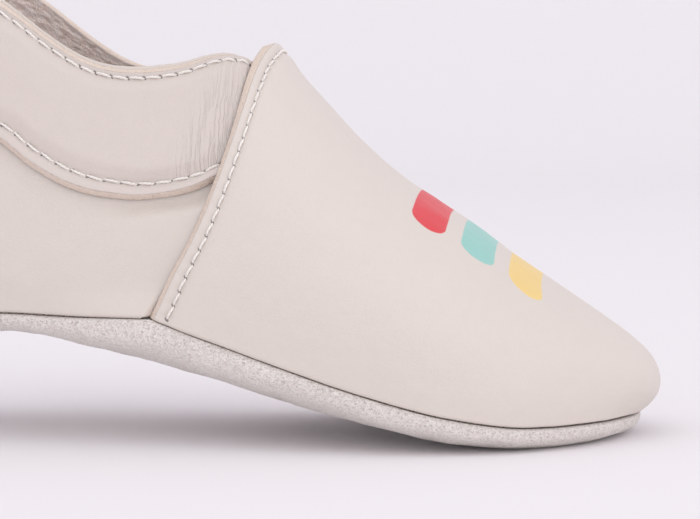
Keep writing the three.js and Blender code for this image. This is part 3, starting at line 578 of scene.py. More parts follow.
class Mat:
    """Builds a procedural material node by node."""

    def __init__(s, name):
        s.m = bpy.data.materials.new(name)
        s.m.use_nodes = True
        s.t, s.b = s.m.node_tree, s.m.node_tree.nodes["Principled BSDF"]

    def put(s, socket, v):
        if isinstance(v, bpy.types.NodeSocket):
            s.t.links.new(v, socket)
        elif v is not None:
            if isinstance(v, (int, float)) and socket.type in ("RGBA", "VECTOR"):
                v = (v, v, v, 1) if socket.type == "RGBA" else (v, v, v)
            if socket.type == "VECTOR" and len(v) == 4:
                v = v[:3]
            socket.default_value = v

    def math(s, op, a, b=None, c=None, clamp=False):
        n = s.t.nodes.new("ShaderNodeMath")
        n.operation, n.use_clamp = op, clamp
        for k, v in enumerate((a, b, c)):
            if v is not None:
                s.put(n.inputs[k], v)
        return n.outputs[0]

    def add(s, *v):
        out = v[0]
        for x in v[1:]:
            out = s.math("ADD", out, x)
        return out

    def mul(s, *v):
        out = v[0]
        for x in v[1:]:
            out = s.math("MULTIPLY", out, x)
        return out

    def sub(s, a, b):
        return s.math("SUBTRACT", a, b)

    def vmath(s, op, a, b=None, scale=None):
        n = s.t.nodes.new("ShaderNodeVectorMath")
        n.operation = op
        s.put(n.inputs[0], a)
        if b is not None:
            s.put(n.inputs[1], b)
        if scale is not None:
            s.put(n.inputs["Scale"], scale)
        return n.outputs["Value"] if op in ("LENGTH", "DOT_PRODUCT", "DISTANCE") else n.outputs["Vector"]

    def attr(s, name, vec=False):
        n = s.t.nodes.new("ShaderNodeAttribute")
        n.attribute_name = name
        return n.outputs["Vector" if vec else "Fac"]

    def split(s, v):
        n = s.t.nodes.new("ShaderNodeSeparateXYZ")
        s.put(n.inputs[0], v)
        return n.outputs[0], n.outputs[1], n.outputs[2]

    def join(s, x=0.0, y=0.0, z=0.0):
        n = s.t.nodes.new("ShaderNodeCombineXYZ")
        for k, v in enumerate((x, y, z)):
            s.put(n.inputs[k], v)
        return n.outputs[0]

    def noise(s, v, scale, detail=3.0, rough=0.5, dist=0.0):
        n = s.t.nodes.new("ShaderNodeTexNoise")
        s.put(n.inputs["Vector"], v)
        n.inputs["Scale"].default_value, n.inputs["Detail"].default_value = scale, detail
        n.inputs["Roughness"].default_value, n.inputs["Distortion"].default_value = rough, dist
        return n.outputs[0]

    def voronoi(s, v, scale, feature="DISTANCE_TO_EDGE", rand=1.0):
        n = s.t.nodes.new("ShaderNodeTexVoronoi")
        n.feature = feature
        s.put(n.inputs["Vector"], v)
        n.inputs["Scale"].default_value = scale
        n.inputs["Randomness"].default_value = rand
        return n.outputs["Distance"]

    def ease(s, x, lo, hi, a=0.0, b=1.0):
        n = s.t.nodes.new("ShaderNodeMapRange")
        n.interpolation_type = "SMOOTHSTEP"
        s.put(n.inputs["Value"], x)
        for k, v in (("From Min", lo), ("From Max", hi), ("To Min", a), ("To Max", b)):
            s.put(n.inputs[k], v)
        return n.outputs["Result"]

    def mix(s, f, a, b, kind="MIX"):
        n = s.t.nodes.new("ShaderNodeMix")
        n.data_type, n.blend_type = "RGBA", kind
        s.put(n.inputs[0], f)
        s.put(n.inputs[6], a)
        s.put(n.inputs[7], b)
        return n.outputs[2]

    def shade(s, colour, factor):
        """Colour times a number."""
        return s.vmath("SCALE", colour, scale=factor)

    def bump(s, height, distance, strength=1.0, normal=None):
        n = s.t.nodes.new("ShaderNodeBump")
        n.inputs["Strength"].default_value, n.inputs["Distance"].default_value = strength, distance
        s.put(n.inputs["Height"], height)
        if normal is not None:
            s.put(n.inputs["Normal"], normal)
        return n.outputs[0]

    def finish(s, colour, rough, normal=None, spec=0.4, sheen=0.0, sheen_rough=0.5, sheen_tint=(1, 1, 1, 1)):
        s.put(s.b.inputs["Base Color"], colour)
        s.put(s.b.inputs["Roughness"], rough)
        s.put(s.b.inputs["Specular IOR Level"], spec)
        if normal is not None:
            s.put(s.b.inputs["Normal"], normal)
        if sheen:
            s.b.inputs["Sheen Weight"].default_value = sheen
            s.b.inputs["Sheen Roughness"].default_value = sheen_rough
            s.b.inputs["Sheen Tint"].default_value = sheen_tint
        return s.m


CREAM_EDGE = srgb(246, 230, 217)
CREAM_DARK = srgb(232, 213, 197)
FLESH = srgb(254, 245, 240)
FLESH_DARK = srgb(246, 227, 218)


BAR_R, BAR_HALF = 2.9, 14.0
BARS = ((35.5, srgb(222, 62, 70)), (44.0, srgb(150, 205, 196)), (52.5, srgb(240, 208, 130)))


def leather(name, base, rows=(), crease=False, printed=False, edge=CREAM_EDGE, grain=1.0):
    """Nappa leather outside, a fibrous cut edge, and the suede flesh side inside."""
    s = Mat(name)
    p = s.attr("rest", True)
    rim, side = s.attr("rim"), s.attr("side")
    # grain side
    big = s.noise(p, 0.055, 3, 0.55)
    mid = s.noise(p, 0.4, 3, 0.6)
    cells = s.voronoi(s.vmath("ADD", p, s.vmath("SCALE", s.join(mid, big, mid), scale=0.5)), 2.1)
    pores = s.voronoi(p, 1.35, "F1")
    c = s.shade(base, s.add(0.955, s.mul(big, 0.06), s.mul(mid, 0.03)))
    c = s.mix(s.mul(s.ease(big, 0.35, 0.7), 0.16), c, s.shade(base, 0.93))
    h = s.add(s.mul(s.ease(cells, 0.0, 0.22), 0.4 * grain), s.mul(mid, 0.6), s.mul(s.ease(pores, 0.0, 0.14), 0.25 * grain))
    fine = s.noise(p, 6.0, 2, 0.6)
    h = s.add(h, s.mul(fine, 0.25 * grain))
    rough = s.add(0.5, s.mul(mid, 0.12), s.mul(s.ease(cells, 0.0, 0.18), -0.05))
    hole = None
    for key in rows:
        x, e, on = s.split(s.attr(key, True))
        f = s.sub(s.math("FRACT", s.add(x, 0.5)), 0.5)
        # needle holes lie a little across the row
        fx = s.add(s.mul(f, 2.35), s.mul(e, 0.5))
        r = s.math("SQRT", s.add(s.mul(fx, fx, 1.9), s.mul(e, e)))
        k = s.mul(s.ease(r, 0.22, 0.45, 1.0, 0.0), on)
        hole = k if hole is None else s.math("MAXIMUM", hole, k)
        # painted shade: the leather is darkened in a strip along the stitch row, where its groove lies
        near = s.mul(s.ease(s.math("ABSOLUTE", e), 0.1, 0.95, 1.0, 0.0), on)
        c = s.mix(s.mul(near, 0.2), c, s.shade(base, 0.72))
    if crease:
        d, hh, amount = s.split(s.attr("gather", True))
        wob = s.noise(s.join(s.mul(d, 0.25), s.mul(hh, 0.45), 0.0), 1.0, 2, 0.5)
        lines = s.noise(s.join(s.add(s.mul(d, 1.5), s.mul(wob, 1.0)), s.mul(hh, 0.07), 3.0), 1.0, 2, 0.5)
        lines = s.math("ABSOLUTE", s.sub(lines, 0.5))
        fold = s.mul(s.ease(lines, 0.0, 0.06, 1.0, 0.0), amount)
        h = s.add(h, s.mul(fold, -2.3))
        # painted shade: the band is darkened along the bottoms of its gather creases
        c = s.mix(s.mul(fold, 0.15), c, s.shade(base, 0.72))
    if printed:
        c, rough = toe_print(s, c, rough, p)
    grain_n = s.bump(h, 0.00004, 0.8)
    # flesh side
    nap = s.noise(p, 3.2, 4, 0.7, 0.4)
    nub = s.noise(p, 0.75, 3, 0.6)
    fl = s.mix(s.ease(s.add(s.mul(nap, 0.55), s.mul(nub, 0.45)), 0.36, 0.62), FLESH_DARK, FLESH)
    # cut edge
    fib = s.noise(s.vmath("MULTIPLY", p, (1.0, 1.0, 1.0)), 4.5, 4, 0.7, 0.3)
    ed = s.mix(s.ease(fib, 0.33, 0.62), CREAM_DARK, edge)
    on_edge = s.ease(s.add(rim, s.mul(s.sub(fib, 0.5), 0.35)), 0.5, 0.8)
    inside = s.ease(side, 0.72, 0.99)
    col = s.mix(inside, c, fl)
    col = s.mix(s.mul(on_edge, s.sub(1.0, s.mul(inside, 0.6))), col, ed)
    if hole is not None:
        # painted shade: near-black spots stand in for the dark inside of needle holes the mesh does not have
        col = s.mix(s.mul(hole, s.sub(1.0, inside), 0.75), col, srgb(70, 60, 58))
    nap_h = s.add(s.mul(nap, 1.0), s.mul(nub, 0.6))
    soft = s.math("MAXIMUM", on_edge, inside, clamp=True)
    n2 = s.bump(s.mul(nap_h, soft), 0.00035, 0.9, grain_n)
    rough = s.add(s.mul(rough, s.sub(1.0, soft)), s.mul(soft, 0.93))
    spec = s.sub(0.42, s.mul(soft, 0.3))
    return s.finish(col, rough, n2, spec, 0.06, 0.5, (1.0, 0.96, 0.94, 1))


def toe_print(s, c, rough, p):
    """Three plain printed bars straight across the toe, alike in size, with round ends and gaps between them."""
    a, b, _ = s.split(s.attr("print", True))
    wob = s.mul(s.sub(s.noise(p, 1.1, 2, 0.6), 0.5), 0.12)
    over = s.math("MAXIMUM", s.sub(s.math("ABSOLUTE", b), BAR_HALF), 0.0)
    tone = s.add(0.97, s.mul(s.noise(p, 0.5, 2, 0.5), 0.06))
    ink = None
    for at, colour in BARS:
        x = s.sub(a, at)
        d = s.math("SQRT", s.add(s.mul(x, x), s.mul(over, over)))
        k = s.ease(s.add(d, wob), BAR_R - 0.1, BAR_R + 0.1, 1.0, 0.0)
        c = s.mix(k, c, s.shade(colour, tone))
        ink = k if ink is None else s.math("MAXIMUM", ink, k)
    return c, s.sub(rough, s.mul(ink, 0.1))


def suede(name, base, dark, light, nap=1.0, shade_to_seam=0.0):
    s = Mat(name)
    p = s.attr("rest", True)
    fine = s.noise(p, 3.6, 2, 0.65, 0.2)
    speck = s.noise(p, 2.0, 3, 0.7, 0.4)
    big = s.noise(p, 0.16, 3, 0.6)
    brush = s.noise(s.vmath("MULTIPLY", p, (0.5, 1.6, 1.4)), 1.2, 3, 0.6)
    v = s.add(s.mul(fine, 0.5), s.mul(speck, 0.5))
    c = s.mix(s.ease(v, 0.4, 0.58), dark, light)
    c = s.mix(0.3, c, base)
    c = s.shade(c, s.add(0.95, s.mul(big, 0.08), s.mul(brush, 0.03)))
    if shade_to_seam:
        # painted shade: the sole is darkened towards the seam crease with the upper
        e = s.attr("edge")
        c = s.mix(s.mul(s.ease(s.add(e, s.mul(s.sub(speck, 0.5), 3.0)), 0.0, 2.2, 1.0, 0.0), shade_to_seam), c, s.shade(dark, 0.8))
        # dark suede specks, packed denser towards the seam crease as further painted shade
        dots = s.ease(s.noise(p, 2.9, 2, 0.6, 0.3), 0.34, 0.45, 1.0, 0.0)
        c = s.mix(s.mul(dots, s.ease(e, 0.0, 6.5, 0.62, 0.16)), c, s.shade(dark, 0.55))
    h = s.add(s.mul(fine, 1.0), s.mul(speck, 0.9), s.mul(brush, 0.3))
    n = s.bump(h, 0.0003 * nap, 1.0)
    return s.finish(c, s.add(0.9, s.mul(fine, 0.08)), n, 0.12, 0.25, 0.6, (1, 0.97, 0.95, 1))


def thread_mat(name="thread"):
    s = Mat(name)
    run, turn = s.attr("run"), s.attr("turn")
    ply = s.math("SINE", s.add(s.mul(run, 2 * math.pi / 0.62), s.mul(turn, 2.0)))
    fuzz = s.noise(s.attr("rest", True), 7.0, 3, 0.7)
    f = s.attr("stitch")
    end = s.math("MULTIPLY", s.math("ABSOLUTE", s.sub(f, 0.5)), 2.0)
    # painted shade: the thread is darker in the grooves between its plies
    c = s.mix(s.ease(ply, -1.0, -0.1), srgb(228, 220, 212), srgb(252, 249, 244))
    c = s.mix(s.ease(fuzz, 0.4, 0.7, 0.0, 0.25), c, srgb(255, 250, 243))
    # painted shade: the thread darkens towards each stitch's ends, where it goes down into the needle hole
    c = s.mix(s.ease(end, 0.8, 0.98, 0.0, 0.9), c, srgb(96, 82, 76))
    n = s.bump(s.add(s.mul(ply, 0.6), fuzz), 0.00003, 0.7)
    return s.finish(c, 0.72, n, 0.3, 0.2, 0.4)


def tape_mat():
    s = Mat("elastic_tape")
    u, v, _ = s.split(s.attr("weave", True))
    rib = s.math("SINE", s.mul(u, 2 * math.pi / 0.9))
    pick = s.math("SINE", s.mul(v, 2 * math.pi / 0.55))
    h = s.add(s.mul(rib, 0.6), s.mul(pick, rib, 0.5))
    nz = s.noise(s.attr("rest", True), 3.0, 3, 0.6)
    # painted shade: the tape is darker in the hollows of its weave
    c = s.mix(s.ease(h, -0.8, 0.6), srgb(206, 200, 190), srgb(242, 239, 232))
    c = s.shade(c, s.add(0.96, s.mul(nz, 0.06)))
    return s.finish(c, 0.86, s.bump(h, 0.00012, 0.9), 0.2, 0.15)


def foam_mat():
    s = Mat("padding_fleece")
    p = s.attr("rest", True)
    curl = s.noise(p, 0.9, 4, 0.7, 1.2)
    fine = s.noise(p, 4.0, 3, 0.7)
    c = s.mix(s.ease(curl, 0.35, 0.65), srgb(208, 202, 186), srgb(240, 236, 222))
    return s.finish(c, 0.95, s.bump(s.add(curl, s.mul(fine, 0.4)), 0.0005, 1.0), 0.1, 0.3, 0.6)


VAMP_BASE = srgb(220, 211, 203)
QUARTER_BASE = srgb(218, 209, 201)
BAND_BASE = srgb(214, 204, 197)
M_VAMP = leather("vamp_nappa", VAMP_BASE, rows=("row",), printed=True)
M_QUARTER = leather("quarter_nappa", QUARTER_BASE)
M_BAND = leather("band_nappa", BAND_BASE, rows=("row", "row2"), crease=True)
M_SOLE = suede("sole_suede", srgb(243, 235, 229), srgb(226, 216, 210), srgb(252, 248, 244), 1.0, 0.25)
M_INSOLE = suede("insole_suede", srgb(203, 184, 171), srgb(168, 147, 134), srgb(222, 206, 194), 0.8)
M_THREAD = thread_mat()
M_TAPE = tape_mat()
M_PAD = foam_mat()


# ------------------------------------------------------------------ helpers for the pieces
def spaced(total, steps):
    """Cumulative positions 0..total; steps is [(up to mm, spacing mm), ...] and the last spacing runs to the end."""
    out, x = [0.0], 0.0
    for upto, step in steps:
        upto = min(upto, total)
        n = max(1, round((upto - x) / step)) if upto > x + 1e-6 else 0
        out += [x + (upto - x) * (k + 1) / n for k in range(n)]
        x = upto
    return np.array(out)


def both_ends(total, steps):
    """Fine at both ends."""
    a = spaced(total / 2, steps + [(total / 2, steps[-1][1])])
    return np.concatenate([a, total - a[-2::-1]])


def tuck_in(s, r):
    """How far a turned edge has curled in, s mm from the edge, for a curl of radius r."""
    t = np.clip(1 - s / r, 0, 1)
    return r * (1 - np.sqrt(1 - t * t))


def arcs(g, axis=1):
    """Running length along an axis of a grid."""
    seg = np.linalg.norm(np.diff(g, axis=axis), axis=-1)
    z = np.zeros_like(np.take(seg, [0], axis=axis))
    return np.concatenate([z, np.cumsum(seg, axis=axis)], axis=axis)


def at_length(g, L, want):
    """Points of each row of g at lengths want (rows x k), L being its running lengths."""
    out = np.zeros(want.shape + (g.shape[-1],))
    for i in range(len(g)):
        for k in range(g.shape[-1]):
            out[i, :, k] = np.interp(want[i], L[i], g[i, :, k])
    return out


BEND_N = np.array([-0.947, 0, 0.321])
_p0 = np.array([-3.35, 0, 41.0])
_start = _p0 + BEND_N * (16.4 - float(_p0 @ BEND_N))
BLEND = [tuple((_start + SHIFT) * MM), tuple((_start + BEND_N * 24 + SHIFT) * MM)]


def bends(ob, *nodes, slot):
    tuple(BLEND[0])
    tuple(BLEND[1])
    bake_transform(ob)
    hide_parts(*nodes)


def rides(ob, body, *nodes, slot):
    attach(ob, body)
    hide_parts(*nodes)


# ------------------------------------------------------------------ vamp
VT = RIDGE_A.total
EDGE = 0.9
row_mm = spaced(VT, [(6, 0.27), (VT - 10, 0.62), (VT, 0.4)])
half_cols = spaced(1.0, [(0.03, 0.0035), (0.97, 0.0075), (1.0, 0.006)])
v_cols = np.concatenate([half_cols / 2, 1 - half_cols[-2::-1] / 2])


def vamp_layers():
    """The outer surface before detail, its normals, and lengths: a along, b round from the ridge, s from the sole seam, e from the cut edge."""
    start = EDGE * (1 - row_mm / VT)
    mm_out = row_mm + start
    g = vamp_from(1.0, mm_out, v_cols, 0.1)
    N = grid_normals(g, vamp_away)
    L = arcs(g)
    mid = len(half_cols) - 1
    b = L - L[:, mid : mid + 1]
    ends = np.minimum(L, L[:, -1:] - L)
    s = np.minimum(ends, (VT - mm_out)[:, None])
    a = np.repeat(mm_out[:, None], len(v_cols), 1)
    return g, N, L, a, b, s, mm_out


VG, VN, VL, VA, VB, VS, VM = vamp_layers()
VE = VA - EDGE  # mm from the cut edge
# the stitch row
VROW = 2.5 - EDGE
row_pts = vamp_from(1.0, np.array([2.5]), v_cols, 0.1)[0]
row_arc = Arc(row_pts)
V_FROM, V_TO = 0.9, row_arc.total - 0.9
VCOUNT = round((V_TO - V_FROM) / 2.3)
VX = (row_arc.L - V_FROM) / (V_TO - V_FROM) * VCOUNT


def vamp_relief(g, N, e, s):
    """Depth of the vamp's detail at each point, along its normal."""
    d = 0.3 * fbm(g / 17.0, 2) * smooth(0, 8, s) * smooth(0, 5, e) + 0.07 * fbm(g / 4.0 + 5, 2) * smooth(1, 5, e)
    # stitched down along the row, puffed up on either side
    r = e - VROW
    x = VX[None, :]
    pull = 0.75 + 0.25 * np.cos(2 * math.pi * x)
    d = d - 0.3 * np.exp(-((r / 0.55) ** 2)) * pull * smooth(0.2, 1.4, s)
    d = d + 0.13 * np.exp(-(((r + 1.0) / 0.6) ** 2)) * (1 - 0.3 * np.cos(2 * math.pi * x))
    d = d + 0.12 * np.exp(-(((r - 1.6) / 1.1) ** 2))
    # lies down on the quarter at the sides, and stands up a little at the throat
    top = 1 - smooth(3.0, 11.0, np.abs(VB))
    d = d - 0.4 * (1 - smooth(0, 6, e)) * (1 - top) + 0.75 * top * (1 - smooth(0.0, 7.0, e))
    return d


def seam_waves(g, s, seed, amp=0.16):
    """Slight puckers next to the sole seam."""
    q = vec(g[..., 0] / 5.6, g[..., 1] / 5.6, seed)
    return amp * perlin(q) * np.exp(-s / 2.4) + 0.06 * perlin(q * 2.7) * np.exp(-s / 1.2)


vd = vamp_relief(VG, VN, VE, VS) + seam_waves(VG, VS, 2.0)
flat_out = VN * vec(1, 1, 0.0)
curl = tuck_in(VS, 0.6)
VO = VG + VN * (vd - curl)[..., None]
VO[-1] = VO[-1].mean(0)
# inside: the cut edge shows as a slope, since the inside reaches further back
mm_in = np.maximum(0, VM - EDGE * np.clip(1 - row_mm / 5.0, 0, 1))
VI0 = vamp_from(1.0, mm_in, v_cols, 0.1)
VI = VI0 + grid_normals(VI0, vamp_away) * (np.minimum(vd, vd * 0.6) - 1.12 - curl * 0.8)[..., None]
VI[-1] = VO[-1] + np.array([-1, 0, 0.1]) * LEATHER
row_attr = vec(np.repeat(VX[None], len(VG), 0), VE - VROW, smooth(0.2, 0.8, VS) * 1.0)
vamp = sheet("vamp_leather", VO, VI, M_VAMP, pole=(False, True), rim=5, bulge=0.1, rough=0.07, data={
    "row": row_attr, "print": vec(VA, VB, 0 * VA), "edge": VS})
rides(vamp, "forefoot", "vamp", slot="vamp_leather")

# the thread of that row
st_d = np.linspace(V_FROM, V_TO, 500)
k_row = int(np.argmin(np.abs(VE[:, 0] - VROW)))
base_row = Arc(row_pts)
path = base_row.at(st_d)
ups = np.column_stack([np.interp(st_d, base_row.L, VN[k_row][:, k]) for k in range(3)])
ups = unit(ups)
dip = np.interp(st_d, base_row.L, (vd - curl)[k_row])
vt, _ = stitches("vamp_edge_stitches", path + ups * (dip + 0.12)[:, None], ups, M_THREAD, pitch=(V_TO - V_FROM) / VCOUNT, radius=0.185, lift=0.0)
rides(vt, "forefoot", "vamp_edge_thread", slot="thread")

# ------------------------------------------------------------------ quarter and collar
TOP_OF = lambda g: arcs(g)[:, -1:] - arcs(g)
D = both_ends(RUN, [(15, 0.27), (22, 0.45), (40, 0.62)])
LOW = np.concatenate([spaced(1.0, [(0.06, 0.01), (0.94, 0.022), (1.0, 0.012)])])
UP = spaced(1.0, [(0.16, 0.014), (0.8, 0.022), (1.0, 0.0125)])[1:]
W, TB = wall_grid(D, LOW, UP, 0.1)
_ft = TOP_OF(W)
_dd = np.minimum(D, RUN - D)[:, None]
W[..., 2] += 1.15 * smooth(TUCK - 2.5, TUCK + 0.8, _dd) * (1 - smooth(TUCK + 2.5, TUCK + 11, _dd)) * np.exp(-_ft / 6.0)
# behind the vamp the foot of the quarter comes out to the sole seam it is sewn into
_fl = 1.85 * (1 - smooth(TUCK + 1, TUCK + 17, _dd)) * np.exp(-((arcs(W) / 3.0) ** 2)) * smooth(TUCK + 0.5, TUCK + 2.0, _dd)
W = W + unit(grid_normals(W, wall_away) * vec(1, 1, 0.0) + 1e-9) * _fl[..., None]
WN = grid_normals(W, wall_away)
WL = arcs(W)
J0 = len(LOW) - 1
H_LOW = WL[:, J0]  # height of the band's lower edge along the wall
TOP = WL[:, -1]
DD = np.minimum(D, RUN - D)[:, None]
from_top = TOP[:, None] - WL
from_seam = WL
over_edge = WL - H_LOW[:, None]  # above the band's lower edge

q_soft = 0.42 * fbm(W / 15.0 + 3.3, 2) * smooth(1, 9, from_seam) * (1 - smooth(-4, 0, over_edge)) * smooth(TUCK, TUCK + 9, DD)
q_soft = q_soft + 0.09 * fbm(W / 4.5 + 8, 2) * smooth(0.5, 4, from_seam) * (1 - smooth(-2, 0, over_edge)) * smooth(TUCK, TUCK + 4, DD)
# folds that run down from the band's lower edge
fan = perlin(vec(D[:, None] / 5.5, WL / 26.0, 4.0))
q_soft = q_soft + 0.22 * fan * np.exp(-np.maximum(0, -over_edge) / 6.0) * (over_edge < 0) * smooth(TUCK + 1, TUCK + 6, DD) * smooth(0, 1.5, -over_edge)
q_curl = tuck_in(from_seam, 0.6)
qd = q_soft + seam_waves(W, from_seam, 6.0)
WO = W + WN * (qd - q_curl)[..., None]
# inside: nubby where the elastic gathers it
nub_on = smooth(-1.0, 2.0, over_edge) * smooth(TUCK + 2, TUCK + 9, DD)
warp = 0.5 * perlin(vec(D[:, None] / 3.0, WL / 3.0, 1.7))
nub = np.abs(perlin(vec(D[:, None] / 1.45 + warp, WL / 1.15, 7.7))) + 0.6 * np.abs(perlin(vec(D[:, None] / 0.8, WL / 0.75 + warp, 2.2)))
inner_depth = LEATHER + 0.05 - nub_on * (nub * 0.6 - 0.15) * smooth(0.0, 0.8, from_top)
WI = W - WN * (inner_depth + q_curl * 0.8)[..., None]
quarter = sheet("quarter_leather", WO, WI, M_QUARTER, rim=4, bulge=0.12, rough=0.08, data={"edge": from_seam})
bends(quarter, "quarter", slot="quarter_leather")

# band: its own rows, by the distance above its lower edge
BH = (TOP - H_LOW)[:, None]
BEV_TOP, BEV_LOW, QTOP = 0.95, 0.7, 0.5
band_f = spaced(1.0, [(0.2, 0.0125), (0.8, 0.02), (1.0, 0.0125)])
h_out = 0.1 + (BH - QTOP - BEV_TOP - 0.1) * band_f[None, :]
push_lo, push_hi = np.clip(1 - band_f / 0.15, 0, 1), np.clip(1 - (1 - band_f) / 0.15, 0, 1)
h_in = h_out - BEV_LOW * push_lo[None] + BEV_TOP * push_hi[None]


def on_wall(h):
    want = H_LOW[:, None] + h
    return at_length(W, WL, want), unit(at_length(WN, WL, want))


BOg, BON = on_wall(h_out)
BIg, BIN = on_wall(h_in)


def band_lift(h, g, D=D):
    """Gap between quarter and band: the elastic's tunnel between the rows, a slight lip at the lower edge."""
    t = BH - h  # mm from the quarter's top
    tunnel = smooth(1.9, 4.6, h) * smooth(2.3, 4.6, t)
    open_ = smooth(TUCK + 0.2, TUCK + 5.5, DD)
    puff = 0.86 + 0.22 * perlin(vec(D[:, None] / 13.0, h / 9.0, 1.0))
    lip = (0.5 + 0.18 * perlin(vec(D[:, None] / 8.0, 0.0, 5.0))) * np.exp(-((h / 1.2) ** 2))
    return 0.12 + lip * (0.4 + 0.6 * open_) + tunnel * open_ * puff * 0.95


LOWROW, TOPROW = 1.9, 2.2
b_total = Arc(at_length(W, WL, (H_LOW + LOWROW)[:, None])[:, 0])
t_total = Arc(at_length(W, WL, (TOP - TOPROW)[:, None])[:, 0])
skip = float(np.interp(TUCK - 1.2, D, np.arange(len(D))))


def row_numbers(a, pitch, under=1.2):
    lo = float(np.interp(TUCK - under, D, a.L))
    hi = float(np.interp(RUN - TUCK + under, D, a.L))
    n = round((hi - lo) / pitch)
    return lo, hi, n, (a.L - lo) / (hi - lo) * n


LO1, HI1, N1, X1 = row_numbers(b_total, 2.5)
LO2, HI2, N2, X2 = row_numbers(t_total, 2.4, 0.0)

near_v = DD - TUCK
gath = smooth(-1.5, 0.3, near_v) * (1 - smooth(3.0, 10.5, near_v))
# less on the upper half, and none on the margins outside the rows
low_half = 1 - 0.45 * smooth(0.35, 0.9, h_out / BH)
gath = gath * low_half * smooth(1.2, 2.6, h_out) * smooth(1.6, 2.8, BH - h_out)


def band_relief(h, g):
    x1, x2 = X1[:, None], X2[:, None]
    r1, r2 = h - LOWROW, (BH - h) - TOPROW
    d = -0.24 * np.exp(-((r1 / 0.5) ** 2)) * (0.7 + 0.3 * np.cos(2 * math.pi * x1)) - 0.26 * np.exp(-((r2 / 0.5) ** 2)) * (0.7 + 0.3 * np.cos(2 * math.pi * x2))
    d = d + 0.1 * np.exp(-(((r1 + 1.0) / 0.6) ** 2)) + 0.1 * np.exp(-(((r2 + 0.9) / 0.5) ** 2)) * (1 - 0.4 * np.cos(2 * math.pi * x2))
    # short puckers that start at the stitches and fade inwards
    tun = smooth(0.2, 1.0, r1) * smooth(0.2, 1.0, r2)
    d = d - 0.09 * tun * (np.exp(-np.maximum(r2, 0) / 1.8) * np.cos(2 * math.pi * x2) * 0.9 + np.exp(-np.maximum(r1, 0) / 1.4) * np.cos(2 * math.pi * x1) * 0.5)
    up = -g[..., 0]     # the gathers stand upright
    w = 0.5 * perlin(vec(up / 4.0, h / 3.2, 8.0))
    c = perlin(vec(up / 1.0 + w * 1.0, h / 12.0, 3.0)) + 0.4 * perlin(vec(up / 0.6 + w * 1.4, h / 8.0, 6.5))
    d = d + gath * (0.13 * (0.45 - np.abs(c) * 1.0) - 0.03)
    soft = 0.16 * perlin(vec(D[:, None] / 9.0, h / 7.0, 2.5)) + 0.08 * perlin(vec(D[:, None] / 3.2, h / 12.0, 9.5))
    return d + soft * tun * smooth(TUCK, TUCK + 6, DD)


bl_o, bl_i = band_lift(h_out, BOg), band_lift(h_in, BIg)
brel = band_relief(h_out, BOg)
BO = BOg + BON * (bl_o + 1.1 + brel)[..., None]
BI = BIg + BIN * (bl_i + 0.4 * np.minimum(brel, 0) * 0 - 0.0)[..., None]
band = sheet("collar_band_leather", BO, BI, M_BAND, rim=5, bulge=0.08, rough=0.06, data={
    "row": vec(np.repeat(X1[:, None], BO.shape[1], 1), h_out - LOWROW, 1.0),
    "row2": vec(np.repeat(X2[:, None], BO.shape[1], 1), BH - h_out - TOPROW, 1.0),
    "gather": vec(-BO[..., 0], h_out, np.clip(gath, 0, 1))})
bends(band, "collar_band", slot="band_leather")


def band_stitches(name, h_row, a, lo, hi, n, node, extra):
    h = h_row[:, None]
    g, N = on_wall(h)
    lift = band_lift(h, g)
    rel = np.array([np.interp(h_row[i], h_out[i], brel[i]) for i in range(len(D))])[:, None]
    P = (g + N * (lift + 1.1 + rel + extra)[..., None])[:, 0]
    A = Arc(P)
    scale = A.total / a.total
    d = np.linspace(lo * scale, hi * scale, 900)
    U = unit(np.column_stack([np.interp(d, A.L, N[:, 0, k]) for k in range(3)]))
    ob, _ = stitches(name, A.at(d), U, M_THREAD, pitch=(hi - lo) * scale / n, radius=0.185, lift=0.0)
    bends(ob, node, slot="thread")


band_stitches("collar_lower_stitches", H_LOW * 0 + LOWROW, b_total, LO1, HI1, N1, "collar_lower_thread", 0.1)
band_stitches("collar_top_stitches", BH[:, 0] - TOPROW, t_total, LO2, HI2, N2, "collar_top_thread", 0.1)

# elastic tape inside the tunnel
tape_f = np.linspace(0, 1, 30)
th = 4.3 + (BH - 4.3 - 4.7) * tape_f[None]
keep = (D > TUCK + 4.2) & (D < RUN - TUCK - 4.2)
TG, TN = on_wall(th)
rib_ = 0.06 * np.sin(th * 2 * math.pi / 0.9)
tw = vec(th, np.repeat(D[:, None], 30, 1), 0.0)
room = band_lift(th, TG)
t_low = 0.12 + 0 * room
t_high = np.minimum(room - 0.08, 0.12 + 0.5) + rib_ * (room > 0.75)
t_high = np.maximum(t_high, t_low + 0.1)
tape = sheet("collar_elastic_tape", (TG + TN * t_high[..., None])[keep], (TG + TN * t_low[..., None])[keep], M_TAPE, rim=3, bulge=0.08, data={"weave": tw[keep]})
bends(tape, "collar_elastic", slot="elastic")

# ------------------------------------------------------------------ sole
SG, SV = sole_grid(300, 132, 0.05)
SN = grid_normals(SG, lambda p: vec((np.where(p[..., 0] > 0, p[..., 0] - 30, p[..., 0] + 35)) * 0.02, (p[..., 1] - 0.5) * 0.3, -8.0))
n_s = len(SG)
for i in range(1, n_s - 1):
    for j, sg in ((0, -1), (-1, 1)):
        t = unit(SG[i + 1, j] - SG[i - 1, j])
        o = np.array([t[1], -t[0], 0])
        SN[i, j] = unit(o if o[1] * sg > 0 else -o)
SN[0], SN[-1] = [1, 0, 0], [-1, 0, 0]
SL = arcs(SG)
s_edge = np.minimum(SL, SL[:, -1:] - SL)
tip = np.minimum(np.linalg.norm(SG - SG[0, 0], axis=-1), np.linalg.norm(SG - SG[-1, 0], axis=-1))
s_edge = np.minimum(s_edge, tip)
ground = smooth(1.2, 0.0, SG[..., 2]) if False else 1 - smooth(0.0, 1.6, SG[..., 2])
s_rel = (0.3 * fbm(SG / 12.0 + 1, 2) + 0.1 * fbm(SG / 3.4 + 2, 3)) * smooth(0, 3, s_edge) * (1 - 0.9 * ground) + 0.035 * perlin(SG / 0.9) * (1 - 0.8 * ground)
